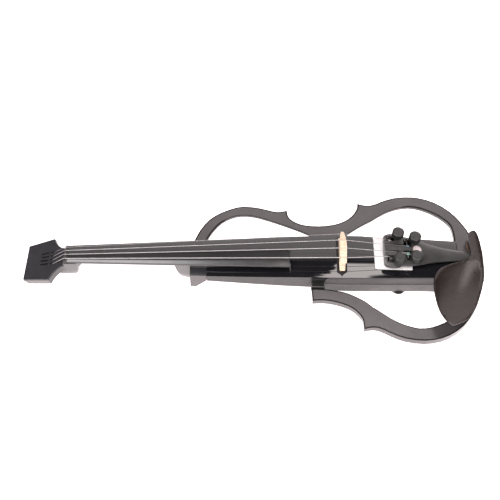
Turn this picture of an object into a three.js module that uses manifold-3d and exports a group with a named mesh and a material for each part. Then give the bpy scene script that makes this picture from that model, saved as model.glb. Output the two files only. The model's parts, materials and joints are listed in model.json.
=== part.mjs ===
// Electric violin with open wing frames, a head with string slots and tuning machines in the tailpiece.
// Millimetres, +X to the tail, +Y to the treble side, +Z up, lying on its back.
// Drawing frame: X zero at the bridge, Y zero under the strings, Z zero at the frames' top plane.
// The finished group is moved so that its own origin is under the middle of the bounding box.

import * as THREE from 'three';
import { mergeVertices } from 'three/addons/utils/BufferGeometryUtils.js';
import Module from 'manifold-3d';

const wasm = await Module();
wasm.setup();

// Driving dimensions

const clearance = 0.3; // gap where one piece is cut round another
const seat = 0.05; // gap where one piece lies flat on another
const overrun = 2; // how far a cutter runs past the face that it opens
const weld = 0.0001; // vertices closer than this are one vertex

const stringSet = {
  length: 327, // nut to bridge
  spanAtNut: 16.5,
  spanAtBridge: 34,
  spanAtTail: 24.6,
  innerSpanAtTail: 9.6,
  tailHeight: 34.4, // over the tailpiece's front edge
  action: 0.6, // string over the fingerboard at the nut
};
const stringRadii = { e: 0.16, a: 0.35, d: 0.4, g: 0.43 };
const ball = { radius: 1.8, length: 3 };

const fingerboard = {
  length: 267,
  halfAtNut: 12,
  halfAtEnd: 21.5,
  edge: 3,
  crownRadius: 42,
  heightAtNut: 3.1, // of the top's edge over the frames' top plane
  heightAtEnd: 21.4,
};
const nut = { length: 3.4, rise: 0.9 };

const neck = {
  inset: 2, // of its edge under the fingerboard's
  depthAtHead: 10, // under the fingerboard
  depthAtHeel: 12,
  lobeLength: 24,
  lobeHalf: 13,
  heelLength: 11,
  heelRound: 7,
  heelHalf: 15,
  lobeNear: 13, // from the nut to the lobe's near end
  rootHalf: 13.5,
  rootEnd: 95,
};
const head = {
  tilt: 17.7, // degrees, backwards
  length: 55,
  flareAt: 20.5,
  flareHalf: 29.9,
  endHalf: 24.5,
  thickness: 10.4,
  bevel: 0.8,
  undercut: 3.4,
  drop: 2.9, // of the head's face under the frames' top plane at the nut
};
const headTilt = THREE.MathUtils.degToRad(head.tilt);
const headReach = (head.length - head.undercut) * Math.sin(headTilt) + head.thickness * Math.cos(headTilt);
const restDepth = head.drop + headReach; // of the plane it rests on, from the frames' top plane
const headPlate = { thickness: 1.4, inset: 0.3 };
const slots = {
  width: 1.9,
  near: 15.6,
  far: 33.6,
  nearPitch: 5.7,
  farPitch: 4.95,
  shift: 1.2, // of all four towards the treble side
  pocketDepth: 5,
  anchor: 24.4,
};

const body = {
  headEnd: 158,
  tailEnd: 140.7,
  halfWidth: 30.2,
  topHeight: 14.3,
  crown: 2.8,
  sideDepth: 11.5,
  keelDepth: 20,
  keelHalf: 14,
  draft: 1.2, // how much narrower the side is at its foot
};
const block = {
  headEnd: 178.4,
  half: 24,
  topHeight: 0.6,
  depth: 25,
  floorLength: 7,
  slope: 1.2,
  shoulder: 6,
};
const housing = {
  front: 17, // from the bridge towards the head
  lip: 2.4, // of the top's edge left over the housing
  ridge: 0.6,
  ridgeDepth: 1.6,
  groove: 1.1, // between the top's edge and the cover
  sideDepth: 18.5,
  floorHalf: 20,
  wall: 2.2,
  floor: 3.4,
  coreHalf: 22.5,
  coreDepth: 4,
  frontRound: 6,
};
const frames = {
  half: 103.5,
  tail: 172,
  depth: 14,
  innerDepth: 2.5,
};
const bracket = {
  length: 16.2,
  top: 3,
  reach: 6.8,
  rim: 1,
  pocket: 0.8,
  depth: 7.6,
  flangeTop: 10.4,
  flange: 1.2,
};
const tailBlock = {
  half: 29,
  topHeight: 13.2,
  depth: 18.5,
  end: 171.6,
  bow: 2.4,
  slot: 1.4,
  slotDepth: 6,
  notch: 9.4,
};

const bridge = {
  at: 2, // from the origin towards the tail
  height: 22,
  footHalf: 23.2,
  topHalf: 22.3,
  crownRadius: 42,
  footThickness: 5.2,
  waistThickness: 8, // at the top of its middle
  footTaper: 7, // height over which a foot widens
  archHalf: 9,
};
const bridgeBase = { length: 12, half: 25, height: 1.1, tab: 3.4, tabLength: 5 };
const lead = { radius: 1, at: 3.6 };

const tailpiece = {
  front: 51,
  end: 156,
  half: 23.4,
  topHeight: 35.7,
  edgeHeight: 30.2,
  underside: 22.4,
  floor: 1,
  notchLength: 3.4,
  gutHole: 1.4,
  gutSpan: 6.4,
};
const tuner = {
  teeth: 16,
  wheelRadius: 4.4, // to the middle of the teeth
  toothHeight: 0.38, // half the depth of a tooth
  wheelWidth: 2.4,
  wormRadius: 3.6,
  threadHeight: 0.42,
  wormLength: 6.6,
  axleHeight: 28.2,
  drumRadius: 2.3,
  windingRadius: 3.3,
  windingWidth: 3.2,
  journal: 1.2,
  shaft: 1.4,
  knobRadius: 7.2,
  knobHeight: 8.4,
  dish: 0.7,
  bore: 4,
  channel: 2.3,
};
const tunerPlaces = {
  e: { x: 67, y: 17.3, knobTop: 44 },
  a: { x: 87, y: 13.5, knobTop: 42 },
  d: { x: 87, y: -13.5, knobTop: 42 },
  g: { x: 67, y: -17.3, knobTop: 44 },
};
const foam = { front: 41, end: 85, bassSide: 18.8, trebleSide: 27.6, thickness: 2.2 };
const dot = { radius: 5, thickness: 0.3, at: 89.5 };
const saddle = { length: 4, half: 9, height: 6 };
const gut = { radius: 1.1 };
const endPin = { headRadius: 6.2, headLength: 2.4, stemRadius: 3.2, stemLength: 14, recess: 6.4, height: -2 };

const chinrest = {
  x: 106,
  length: 62,
  half: 98,
  rimHeight: 28,
  thickness: 3.2,
  dish: 6.5,
  dishX: 133,
  dishY: -52,
  dishReach: 48,
  dishHalf: 27,
  dishTurn: 62.4, // degrees, of the dish's long way
  step: 5, // between the points that its curved faces are made of
  footFront: 155,
  footHalf: 6,
  footAt: 20,
};
const cork = { thickness: 2 };
const clamp = {
  at: 18, // of each barrel from the middle line
  x: 166.4,
  barrelRadius: 3.4,
  barrelTop: 11,
  barrelLength: 20,
  rod: 1.4,
  plate: 2.2,
  plateLength: 20,
  plateHalf: 24,
  padThickness: 1,
  keyHole: 1,
  upperReach: 7, // of the rods inside the barrel
  lowerReach: 12, // under the barrel's top
};

const battery = { length: 48.5, width: 26.5, height: 17.5, studRadius: 3, stud: 2.4 };
const bay = { wall: 1.2, end: 136.8, snap: 3, height: 12 };
const door = { thickness: 2, pin: 0.8, pinLength: 2.4, notch: 5 };
const board = { front: 5, end: 79, half: 18, thickness: 1.6 };
const jack = {
  x: 70.5,
  depth: 11.8,
  barrel: 5.4,
  length: 17,
  socket: 3.25,
  nut: 6.4,
  nutLength: 2.2,
  neck: 4.7,
};
const phones = { x: 44, depth: 9.6, half: 3.6, length: 12, socket: 1.8, collar: 3, collarLength: 1.2 };
const volume = { x: 73.5, y: 20, radius: 9, thickness: 2.6, depth: 21, hub: 2.4, teeth: 30, tooth: 0.4 };
const power = { x: 22, depth: 9.6, length: 4, height: 2.6, proud: 1.8, travel: 4, body: 10 };
const screw = { headRadius: 2.6, head: 1.6, shank: 1.2, length: 27, boss: 3.4, inset: 8, at: 15.5 };

// Solids, surfaces and shapes

function solid(geometry) {
  const bare = geometry.clone();
  bare.deleteAttribute('normal');
  bare.deleteAttribute('uv');
  const merged = mergeVertices(bare, weld);
  return new wasm.Manifold(new wasm.Mesh({
    numProp: 3,
    vertProperties: new Float32Array(merged.attributes.position.array),
    triVerts: new Uint32Array(merged.index.array),
  }));
}

function surface(manifold) {
  const mesh = manifold.getMesh();
  const geometry = new THREE.BufferGeometry();
  geometry.setAttribute('position', new THREE.BufferAttribute(mesh.vertProperties, 3));
  geometry.setIndex(new THREE.BufferAttribute(mesh.triVerts, 1));
  return geometry;
}

const join = (...parts) => surface(parts.map(solid).reduce((whole, part) => whole.add(part)));
const cut = (whole, ...tools) => (
  surface(tools.map(solid).reduce((left, tool) => left.subtract(tool), solid(whole))));
const common = (one, other) => surface(solid(one).intersect(solid(other)));

function volumeOf(positions, index) {
  let sum = 0;
  const corner = (i) => new THREE.Vector3().fromArray(positions, 3 * index[i]);
  for (let i = 0; i < index.length; i += 3) {
    sum += corner(i).dot(corner(i + 1).cross(corner(i + 2)));
  }
  return sum;
}

function closed(positions, index) {
  if (volumeOf(positions, index) < 0) index.reverse();
  const geometry = new THREE.BufferGeometry();
  geometry.setAttribute('position', new THREE.Float32BufferAttribute(positions, 3));
  geometry.setIndex(index);
  return geometry;
}

// Triangles that close one flat ring of points.
function capOf(ring) {
  const normal = new THREE.Vector3();
  ring.forEach((p, i) => normal.add(new THREE.Vector3().crossVectors(p, ring[(i + 1) % ring.length])));
  const away = new THREE.Vector3(Math.abs(normal.x), Math.abs(normal.y), Math.abs(normal.z));
  const flat = ring.map((p) => {
    if (away.x >= away.y && away.x >= away.z) return new THREE.Vector2(p.y, p.z);
    if (away.y >= away.z) return new THREE.Vector2(p.x, p.z);
    return new THREE.Vector2(p.x, p.y);
  });
  const turn = THREE.ShapeUtils.isClockWise(flat);
  const triangles = THREE.ShapeUtils.triangulateShape(turn ? flat.slice().reverse() : flat, []);
  if (!turn) return triangles;
  return triangles.map((t) => t.map((i) => ring.length - 1 - i).reverse());
}

// A body skinned over a row of rings that have the same number of points.
function loft(rings) {
  const count = rings[0].length;
  const positions = rings.flat().flatMap((p) => [p.x, p.y, p.z]);
  const index = [];
  for (let r = 0; r < rings.length - 1; r += 1) {
    for (let i = 0; i < count; i += 1) {
      const a = r * count + i;
      const b = r * count + ((i + 1) % count);
      index.push(a, b, b + count, a, b + count, a + count);
    }
  }
  const cross = (a, b, c) => new THREE.Vector3().crossVectors(b.clone().sub(a), c.clone().sub(a));
  const first = capOf(rings[0]);
  const start = rings[0];
  const side = new THREE.Vector3().subVectors(rings[1][0], start[0]);
  const [p, q, s] = first[0].map((i) => start[i]);
  const facing = cross(p, q, s).dot(side) > 0;
  const edge = cross(start[0], start[1], rings[1][1]);
  const middle = start.reduce((sum, v) => sum.add(v), new THREE.Vector3()).divideScalar(count);
  const outward = edge.dot(new THREE.Vector3().subVectors(start[0], middle)) > 0;
  const flip = facing === outward;
  first.forEach((t) => index.push(...(flip ? [...t].reverse() : t)));
  const base = (rings.length - 1) * count;
  capOf(rings[rings.length - 1]).forEach((t) => {
    const placed = t.map((i) => i + base);
    index.push(...(flip ? placed : placed.reverse()));
  });
  return closed(positions, index);
}

const vec = (x, y, z) => new THREE.Vector3(x, y, z);
const flatPoint = (x, y) => new THREE.Vector2(x, y);

function slab(points, low, high) {
  const shape = new THREE.Shape(points);
  const geometry = new THREE.ExtrudeGeometry(shape, { depth: high - low, bevelEnabled: false });
  return geometry.translate(0, 0, low);
}

function box(low, high) {
  const size = new THREE.Vector3().subVectors(high, low);
  const middle = new THREE.Vector3().addVectors(low, high).divideScalar(2);
  return new THREE.BoxGeometry(size.x, size.y, size.z).translate(middle.x, middle.y, middle.z);
}

// An upright cylinder from low to high.
function post(x, y, low, high, radius, sides = 16) {
  const geometry = new THREE.CylinderGeometry(radius, radius, high - low, sides);
  return geometry.rotateX(Math.PI / 2).translate(x, y, (low + high) / 2);
}

// How wide a bore of flat sides is round a turning shaft.
const bearing = (radius, sides) => (radius + seat) / Math.cos(Math.PI / sides);

// A cylinder along Y.
function rod(x, z, low, high, radius, sides = 16) {
  return new THREE.CylinderGeometry(radius, radius, high - low, sides).translate(x, (low + high) / 2, z);
}

function turned(profile, sides) {
  return new THREE.LatheGeometry(profile.map(([r, h]) => flatPoint(r, h)), sides);
}

// A path that puts one section of a tube on each of its points.
class Route extends THREE.Curve {
  constructor(corners) {
    super();
    this.corners = corners;
  }

  getUtoTmapping(u) {
    return u;
  }

  getPoint(t, target = new THREE.Vector3()) {
    const place = t * (this.corners.length - 1);
    const i = Math.min(Math.floor(place), this.corners.length - 2);
    return target.lerpVectors(this.corners[i], this.corners[i + 1], place - i);
  }
}

function tube(corners, radius, sides) {
  const section = Array.from({ length: sides }, (_, i) => {
    const angle = (2 * Math.PI * i) / sides;
    return flatPoint(radius * Math.cos(angle), radius * Math.sin(angle));
  });
  const route = new Route(corners);
  const options = { extrudePath: route, steps: corners.length - 1, bevelEnabled: false };
  return new THREE.ExtrudeGeometry(new THREE.Shape(section), options);
}

// Rows of a table read at one place between 0 and 1, with straight lines between the rows.
function readTable(rows, place) {
  const next = Math.max(1, rows.findIndex((row) => row[0] >= place - Number.EPSILON));
  const [a, b] = [rows[next - 1], rows[next]];
  const t = (place - a[0]) / (b[0] - a[0]);
  return a.map((value, i) => value + t * (b[i] - value));
}

// More rows on a smooth curve through the rows of a table.
function smoothed(rows, steps) {
  const curve = new THREE.CatmullRomCurve3(rows.map((row) => vec(row[0], row[1], row[2] ?? 0)));
  return curve.getPoints(steps).map((p) => [p.x, p.y, p.z]);
}

function smoothLine(points, steps) {
  return new THREE.SplineCurve(points).getPoints(steps);
}

// The fingerboard, nut and strings over it

const nutX = -stringSet.length;
const boardEndX = nutX + fingerboard.length;

function boardAt(x) {
  const share = (x - nutX) / fingerboard.length;
  const half = THREE.MathUtils.lerp(fingerboard.halfAtNut, fingerboard.halfAtEnd, share);
  const edge = THREE.MathUtils.lerp(fingerboard.heightAtNut, fingerboard.heightAtEnd, share);
  return { half, edge, under: edge - fingerboard.edge };
}

function crownRise(half, y, radius) {
  return Math.sqrt(radius ** 2 - y ** 2) - Math.sqrt(radius ** 2 - half ** 2);
}

const crownSteps = 10;

function boardRing(x) {
  const { half, edge, under } = boardAt(x);
  const ring = [vec(x, -half, under), vec(x, half, under)];
  for (let i = 0; i <= crownSteps; i += 1) {
    const y = half * (1 - (2 * i) / crownSteps);
    ring.push(vec(x, y, edge + crownRise(half, y, fingerboard.crownRadius)));
  }
  return ring;
}

function makeFingerboard() {
  return loft([boardRing(nutX + clearance), boardRing(boardEndX)]);
}

function makeNut() {
  const face = boardAt(nutX);
  const ring = (x, rise) => {
    const list = [vec(x, -face.half, face.under), vec(x, face.half, face.under)];
    for (let i = 0; i <= crownSteps; i += 1) {
      const y = face.half * (1 - (2 * i) / crownSteps);
      const crown = crownRise(face.half, y, fingerboard.crownRadius);
      list.push(vec(x, y, face.edge + crown + rise));
    }
    return list;
  };
  return loft([
    ring(nutX - nut.length, -nut.rise),
    ring(nutX - nut.length / 2, nut.rise / 2),
    ring(nutX, nut.rise / 2),
  ]);
}

// The spine: one long core that everything is fixed to

const bodyLength = body.headEnd + body.tailEnd;
const bodyShares = smoothed([
  [0, 0.828, 0.042],
  [0.194, 0.92, 0.427],
  [0.328, 0.968, 0.69],
  [0.415, 0.985, 0.81],
  [0.552, 1, 0.965],
  [0.73, 0.965, 1],
  [0.864, 0.914, 1],
  [1, 0.865, 0.98],
], 20);

function bodyAt(x) {
  const place = THREE.MathUtils.clamp((x + body.headEnd) / bodyLength, 0, 1);
  const [, halfShare, topShare] = readTable(bodyShares, place);
  return { half: halfShare * body.halfWidth, top: topShare * body.topHeight };
}

const crownShares = [1, 0.92, 0.8, 0.62, 0.36, 0, -0.36, -0.62, -0.8, -0.92, -1];
const crownFullness = 3; // a higher one keeps the top flat for longer
const topOf = (x, y = 0) => {
  const { half, top } = bodyAt(x);
  return top + body.crown * (1 - Math.abs(y / half) ** crownFullness);
};

function crownPoints(x) {
  const { half } = bodyAt(x);
  return crownShares.map((share) => vec(x, share * half, topOf(x, share * half)));
}

function spineRing(x) {
  const { half } = bodyAt(x);
  const foot = half - body.draft;
  const lower = [vec(x, -foot, -body.sideDepth), vec(x, -body.keelHalf, -body.keelDepth)];
  const mirrored = lower.map((p) => vec(p.x, -p.y, p.z)).reverse();
  return [...crownPoints(x), ...lower, ...mirrored];
}

const spineStations = bodyShares.map(([place]) => place * bodyLength - body.headEnd);
const housingFront = -housing.front;
const housingLip = body.topHeight * bodyShares[bodyShares.length - 1][2] - housing.lip;

function makeBodyCore() {
  const spine = loft(spineStations.map(spineRing));
  const low = vec(housingFront - clearance, -body.halfWidth * 2, -restDepth);
  const under = housingLip + housing.groove;
  const room = box(low, vec(body.tailEnd + overrun, body.halfWidth * 2, under));
  const core = box(
    vec(housingFront - clearance - overrun, -housing.coreHalf, -housing.coreDepth),
    vec(body.tailEnd + overrun, housing.coreHalf, under + overrun),
  );
  const leadHole = post(lead.at, 0, -restDepth, topOf(0) + overrun, lead.radius + clearance);
  return cut(spine, cut(room, core), leadHole, ...coverScrewPlaces().map(([x, y]) => (
    post(x, y, -restDepth, screw.length - restDepth + clearance, screw.shank + clearance, 12))));
}

// The housing under the rear half of the spine, which holds the electronics

function housingSkin(x, inset, top, floor) {
  const { half } = bodyAt(x);
  const side = half - inset;
  const left = [
    vec(x, -side, top),
    vec(x, -side - housing.ridge, -housing.ridgeDepth),
    vec(x, -side + body.draft, -housing.sideDepth + inset / 2),
    vec(x, -housing.floorHalf + inset / 2, floor),
  ];
  return [...left, ...left.map((p) => vec(p.x, -p.y, p.z)).reverse()];
}

function coverScrewPlaces() {
  const rear = tailEndOfRoom() - screw.inset;
  const front = housingFront + screw.inset;
  const apart = screw.at + screw.headRadius;
  return [[front, screw.at], [front, -screw.at], [rear, apart], [rear, -apart]];
}

function tailEndOfRoom() {
  return body.tailEnd - housing.wall;
}

function housingStations(from, to) {
  const inner = spineStations.filter((x) => x > from + overrun && x < to - overrun);
  return [from, ...inner, to];
}

const bayFront = bay.end - battery.length - clearance - bay.snap - clearance;
const doorOpening = {
  front: bayFront,
  end: bay.end + clearance,
  half: battery.width / 2 + clearance,
};
const doorAxis = { x: doorOpening.front + clearance + door.thickness / 2, z: -restDepth + housing.floor / 2 };

function bayWalls() {
  const reach = doorOpening.half + bay.wall;
  const foot = -restDepth + housing.floor - clearance;
  const outer = box(
    vec(bayFront - bay.wall, -reach, foot),
    vec(tailEndOfRoom() + clearance, reach, foot + bay.height),
  );
  const inner = box(
    vec(bayFront, -doorOpening.half, foot - overrun),
    vec(doorOpening.end, doorOpening.half, foot + bay.height + overrun),
  );
  return cut(outer, inner);
}

function roundedFront(low, high) {
  const side = body.halfWidth * 2;
  const corner = box(
    vec(housingFront - overrun, -side, high - housing.frontRound),
    vec(housingFront + housing.frontRound, side, high + overrun),
  );
  const middle = housingFront + housing.frontRound;
  const round = rod(middle, high - housing.frontRound, -side, side, housing.frontRound, 20);
  const foot = box(
    vec(housingFront - overrun, -side, low - overrun),
    vec(housingFront + housing.frontRound, side, low + housing.frontRound),
  );
  const footRound = rod(middle, low + housing.frontRound, -side, side, housing.frontRound, 20);
  return [cut(corner, round), cut(foot, footRound)];
}

function makeBackCover() {
  const skin = loft(housingStations(housingFront, body.tailEnd).map((x) => (
    housingSkin(x, clearance, housingLip, -restDepth))));
  const innerFront = housingFront + housing.wall;
  const room = loft(housingStations(innerFront, tailEndOfRoom()).map((x) => (
    housingSkin(x, housing.wall, housingLip + overrun, -restDepth + housing.floor))));
  const passage = box(
    vec(housingFront - overrun, -housing.coreHalf - clearance, -housing.coreDepth - clearance),
    vec(body.tailEnd + overrun, housing.coreHalf + clearance, housingLip + overrun),
  );
  const bosses = coverScrewPlaces().map(([x, y]) => (
    post(x, y, -restDepth + housing.floor - clearance, -housing.coreDepth - clearance, screw.boss, 12)));
  const shell = cut(skin, room, passage, ...roundedFront(-restDepth, housingLip));
  const filled = join(shell, bayWalls(), ...bosses);
  const screwRooms = coverScrewPlaces().map(([x, y]) => (
    post(x, y, -restDepth - overrun, 0, screw.shank + clearance, 12)));
  const headRooms = coverScrewPlaces().map(([x, y]) => (
    post(x, y, -restDepth - overrun, -restDepth + screw.head + 2 * clearance, screw.headRadius + clearance)));
  return cut(filled, ...screwRooms, ...headRooms, ...coverOpenings());
}

// Every opening in the housing's walls and floor, from the sizes of what goes through it.
function coverOpenings() {
  const doorHole = box(
    vec(doorOpening.front, -doorOpening.half, -restDepth - overrun),
    vec(doorOpening.end, doorOpening.half, -restDepth + housing.floor + overrun),
  );
  const pinReach = doorOpening.half + door.pinLength;
  const pinHole = rod(doorAxis.x, doorAxis.z, -pinReach, pinReach, bearing(door.pin, 16), 16);
  const inside = body.halfWidth - housing.wall * 3;
  const outside = body.halfWidth + overrun;
  const jackHole = rod(jack.x, -jack.depth, inside, outside, jack.neck + clearance, 20);
  const phonesHole = rod(phones.x, -phones.depth, inside, outside, phones.collar + clearance, 16);
  const wheelRoom = volume.thickness / 2 + clearance;
  const wheelSlot = box(
    vec(volume.x - volume.radius, -body.halfWidth - overrun, -volume.depth - wheelRoom),
    vec(volume.x + volume.radius, -volume.y + overrun, -volume.depth + wheelRoom),
  );
  const [reach, rise] = [power.length / 2 + clearance, power.height / 2 + clearance];
  const switchSlot = box(
    vec(power.x - reach, inside, -power.depth - rise),
    vec(power.x + reach + power.travel, outside, -power.depth + rise),
  );
  return [doorHole, pinHole, jackHole, phonesHole, wheelSlot, switchSlot];
}

function makeBatteryDoor() {
  const half = doorOpening.half - clearance;
  const low = doorAxis.z - door.thickness / 2;
  const high = doorAxis.z + door.thickness / 2;
  const plate = box(vec(doorAxis.x, -half, low), vec(doorOpening.end - clearance, half, high));
  const edge = rod(doorAxis.x, doorAxis.z, -half, half, door.thickness / 2, 16);
  const pinReach = half + clearance + door.pinLength - clearance;
  const pins = rod(doorAxis.x, doorAxis.z, -pinReach, pinReach, door.pin, 12);
  const notch = post(doorOpening.end, 0, low - overrun, high + overrun, door.notch, 20);
  return cut(join(plate, edge, pins), notch);
}

function makeBattery() {
  const low = doorAxis.z + door.thickness / 2 + clearance;
  const half = battery.width / 2;
  const front = bay.end - battery.length + battery.stud;
  const can = box(vec(front, -half, low), vec(bay.end, half, low + battery.height));
  const middle = low + battery.height / 2;
  const studs = [-1, 1].map((side) => {
    const stud = new THREE.CylinderGeometry(battery.studRadius, battery.studRadius, battery.stud * 2, 12);
    return stud.rotateZ(Math.PI / 2).translate(front, (side * half) / 2, middle);
  });
  return join(can, ...studs);
}

function makeBatterySnap() {
  const low = doorAxis.z + door.thickness / 2 + clearance;
  const half = battery.width / 2;
  return box(
    vec(bayFront + clearance, -half, low + clearance),
    vec(bayFront + bay.snap, half, low + battery.height),
  );
}

function makeCircuitBoard() {
  const top = -housing.coreDepth - clearance;
  const low = top - board.thickness;
  const plate = box(vec(-board.front, -board.half, low), vec(board.end, board.half, top));
  const chip = (x, y, length, width, height) => box(
    vec(x - length / 2, y - width / 2, low - height),
    vec(x + length / 2, y + width / 2, low + clearance),
  );
  const cans = [-1, 0, 1].map((i) => {
    const x = board.end / 2 + i * chipSizes.canPitch;
    return post(x, -board.half / 2, low - chipSizes.can, low + clearance, chipSizes.canRadius, 12);
  });
  const switchTop = power.depth + power.height;
  const switchBody = box(
    vec(power.x - power.body / 2, board.half - power.body / 2, -switchTop),
    vec(power.x + power.body, switchInnerFace() - clearance, low + clearance),
  );
  return join(
    plate,
    chip(0, 0, chipSizes.long, chipSizes.wide, chipSizes.height),
    chip(board.end / 2, board.half / 2 - clearance, chipSizes.wide, chipSizes.wide, chipSizes.height),
    ...cans,
    switchBody,
    volumePot(),
  );
}

const chipSizes = { long: 12, wide: 7, height: 2, can: 7, canRadius: 2.5, canPitch: 8 };

function switchInnerFace() {
  return bodyAt(power.x).half - housing.wall - power.proud;
}

function makePowerSwitch() {
  const outer = bodyAt(power.x).half + housing.ridge + power.proud;
  return box(
    vec(power.x - power.length / 2, switchInnerFace(), -power.depth - power.height / 2),
    vec(power.x + power.length / 2, outer, -power.depth + power.height / 2),
  );
}

function makeVolumeWheel() {
  const points = Array.from({ length: volume.teeth * 2 }, (_, i) => {
    const angle = (Math.PI * i) / volume.teeth;
    const reach = volume.radius - (i % 2) * volume.tooth;
    return flatPoint(volume.x + reach * Math.cos(angle), -volume.y + reach * Math.sin(angle));
  });
  const wheel = slab(points, -volume.depth - volume.thickness / 2, -volume.depth + volume.thickness / 2);
  const top = -housing.coreDepth - clearance - potHeight - clearance;
  return join(wheel, post(volume.x, -volume.y, -volume.depth, top, volume.hub, 12));
}

const potHeight = 9;
const potHalf = 4.4;

function volumePot() {
  const top = -housing.coreDepth - clearance;
  const half = potHalf;
  const y = -volume.y + half / 2;
  return box(vec(volume.x - half, y - half, top - potHeight), vec(volume.x + half, y + half, top));
}

function jackWall() {
  return bodyAt(jack.x).half + housing.ridge;
}

function makeOutputJack() {
  const wall = jackWall();
  const inner = wall - housing.wall * 2 - clearance;
  const z = -jack.depth;
  const barrel = rod(jack.x, z, inner - jack.length, inner, jack.barrel, 20);
  const neckPiece = rod(jack.x, z, inner - overrun, wall + jack.nutLength, jack.neck, 20);
  const hexagon = rod(jack.x, z, wall + clearance, wall + clearance + jack.nutLength, jack.nut, 6);
  const rim = rod(jack.x, z, wall, wall + clearance + jack.nutLength * 2, jack.neck, 20);
  const mouth = wall + jack.nutLength * 2 + overrun;
  const socket = rod(jack.x, z, inner - jack.length + housing.wall, mouth, jack.socket, 20);
  return cut(join(barrel, neckPiece, hexagon, rim), socket);
}

function makePhonesJack() {
  const wall = bodyAt(phones.x).half + housing.ridge;
  const inner = wall - housing.wall * 2 - clearance;
  const z = -phones.depth;
  const top = -housing.coreDepth - clearance - board.thickness - clearance;
  const shell = box(
    vec(phones.x - phones.half, inner - phones.length, z - phones.half),
    vec(phones.x + phones.half, inner, top),
  );
  const collar = rod(phones.x, z, inner - overrun, wall + phones.collarLength, phones.collar, 16);
  const end = inner - phones.length + housing.wall;
  const socket = rod(phones.x, z, end, wall + overrun * 2, phones.socket);
  return cut(join(shell, collar), socket);
}

function makeCoverScrew([x, y]) {
  const profile = [
    [0, 0],
    [screw.headRadius, 0],
    [screw.headRadius, screw.head / 2],
    [screw.shank, screw.head],
    [screw.shank, screw.length - clearance],
    [0, screw.length - clearance],
  ];
  return turned(profile, 12).rotateX(Math.PI / 2).translate(x, y, clearance - restDepth);
}

// The block that carries the head end of the spine, the neck's heel and the treble frame

function blockRing(x, floor) {
  const { half, topHeight, shoulder, slope } = block;
  return [
    vec(x, half, topHeight),
    vec(x, -half + shoulder, topHeight),
    vec(x, -half, topHeight - slope),
    vec(x, -half, floor),
    vec(x, half, floor),
  ];
}

function makeUpperBlock() {
  const deep = -block.depth;
  const shallow = -body.sideDepth + clearance * 2;
  return loft([
    blockRing(-block.headEnd, deep),
    blockRing(-block.headEnd + block.floorLength, deep),
    blockRing(-body.headEnd - clearance, shallow),
  ]);
}

// The neck with its head, in one piece of wood

// A section of the neck, from a round D to a square block with soft corners.
const roundness = { neck: [1, 0.8], block: [0.5, 0.45] };

// How far along its round the lobe and the heel are, and how deep they are there.
const lobeShares = [[1.6, 1], [0.7, 0.9], [0.2, 0.6]];
const heelShares = [[-0.9, 0.1], [-0.7, 0.38], [-0.42, 0.66], [0.14, 0.88], [1.1, 1]];

function dRing(x, half, top, bottom, [across, down], count = 12) {
  const ring = [];
  for (let i = 0; i <= count; i += 1) {
    const angle = (Math.PI * i) / count;
    const side = Math.sign(Math.cos(angle)) * Math.abs(Math.cos(angle)) ** across;
    ring.push(vec(x, half * side, top - (top - bottom) * Math.sin(angle) ** down));
  }
  return ring;
}

function neckRings() {
  const far = nutX + neck.lobeNear;
  const lobeFar = far - neck.lobeLength;
  const heelNear = -block.headEnd - clearance;
  const heelFar = heelNear - neck.heelLength;
  const under = (x) => boardAt(x).under - seat;
  const slim = (x) => {
    const share = (x - far) / (-block.headEnd - far);
    return under(x) - THREE.MathUtils.lerp(neck.depthAtHead, neck.depthAtHeel, share);
  };
  const slimRing = (x) => dRing(x, boardAt(x).half - neck.inset, under(x), slim(x), roundness.neck);
  const squareRing = (x, half, share) => (
    dRing(x, half, under(x), THREE.MathUtils.lerp(slim(x), -restDepth, share), roundness.block));
  const lobeRound = neck.lobeLength / 5;
  const { lobeHalf, heelHalf, heelRound } = neck;
  const middle = (far + heelFar - heelRound) / 2;
  return [
    squareRing(lobeFar, lobeHalf, 0.94),
    squareRing(lobeFar + lobeRound / 2, lobeHalf, 1),
    ...lobeShares.map(([along, depth]) => squareRing(far - lobeRound * along, lobeHalf, depth)),
    squareRing(far, boardAt(far).half - neck.inset / 2, 0.2),
    slimRing(far + lobeRound),
    slimRing(middle),
    slimRing(heelFar - heelRound),
    ...heelShares.map(([along, depth]) => squareRing(heelFar + heelRound * along, heelHalf, depth)),
    squareRing(heelNear, heelHalf, 1),
  ];
}

function neckRoot() {
  const ring = (x, lower) => {
    const top = boardAt(x).under - seat;
    const half = neck.rootHalf;
    return [vec(x, half, top), vec(x, -half, top), vec(x, -half, lower), vec(x, half, lower)];
  };
  const near = -neck.rootEnd;
  const start = -block.headEnd - neck.heelLength / 2;
  return loft([
    ring(start, -clearance * 2),
    ring(-body.headEnd, -clearance * 2),
    ring(near - body.topHeight, topOf(near - body.topHeight) - body.crown * 2),
    ring(near, boardAt(near).under - fingerboard.edge / 2),
  ]);
}

const flareShares = { along: 0.73, across: 1.17, corner: 1.4 };

function headOutline(inset) {
  const { flareAt, flareHalf, endHalf, length } = head;
  const half = fingerboard.halfAtNut;
  const reach = length - inset;
  const bend = flatPoint(flareAt * flareShares.along + inset, half * flareShares.across - inset);
  const corner = flatPoint(flareAt + inset / 2, flareHalf - inset * flareShares.corner);
  const shape = new THREE.Shape();
  shape.moveTo(0, half - inset);
  shape.lineTo(inset, half - inset);
  shape.quadraticCurveTo(bend.x, bend.y, corner.x, corner.y);
  shape.lineTo(reach, endHalf - inset);
  shape.lineTo(reach, -endHalf + inset);
  shape.lineTo(corner.x, -corner.y);
  shape.quadraticCurveTo(bend.x, -bend.y, inset, -half + inset);
  shape.lineTo(0, -half + inset);
  return shape;
}

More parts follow.
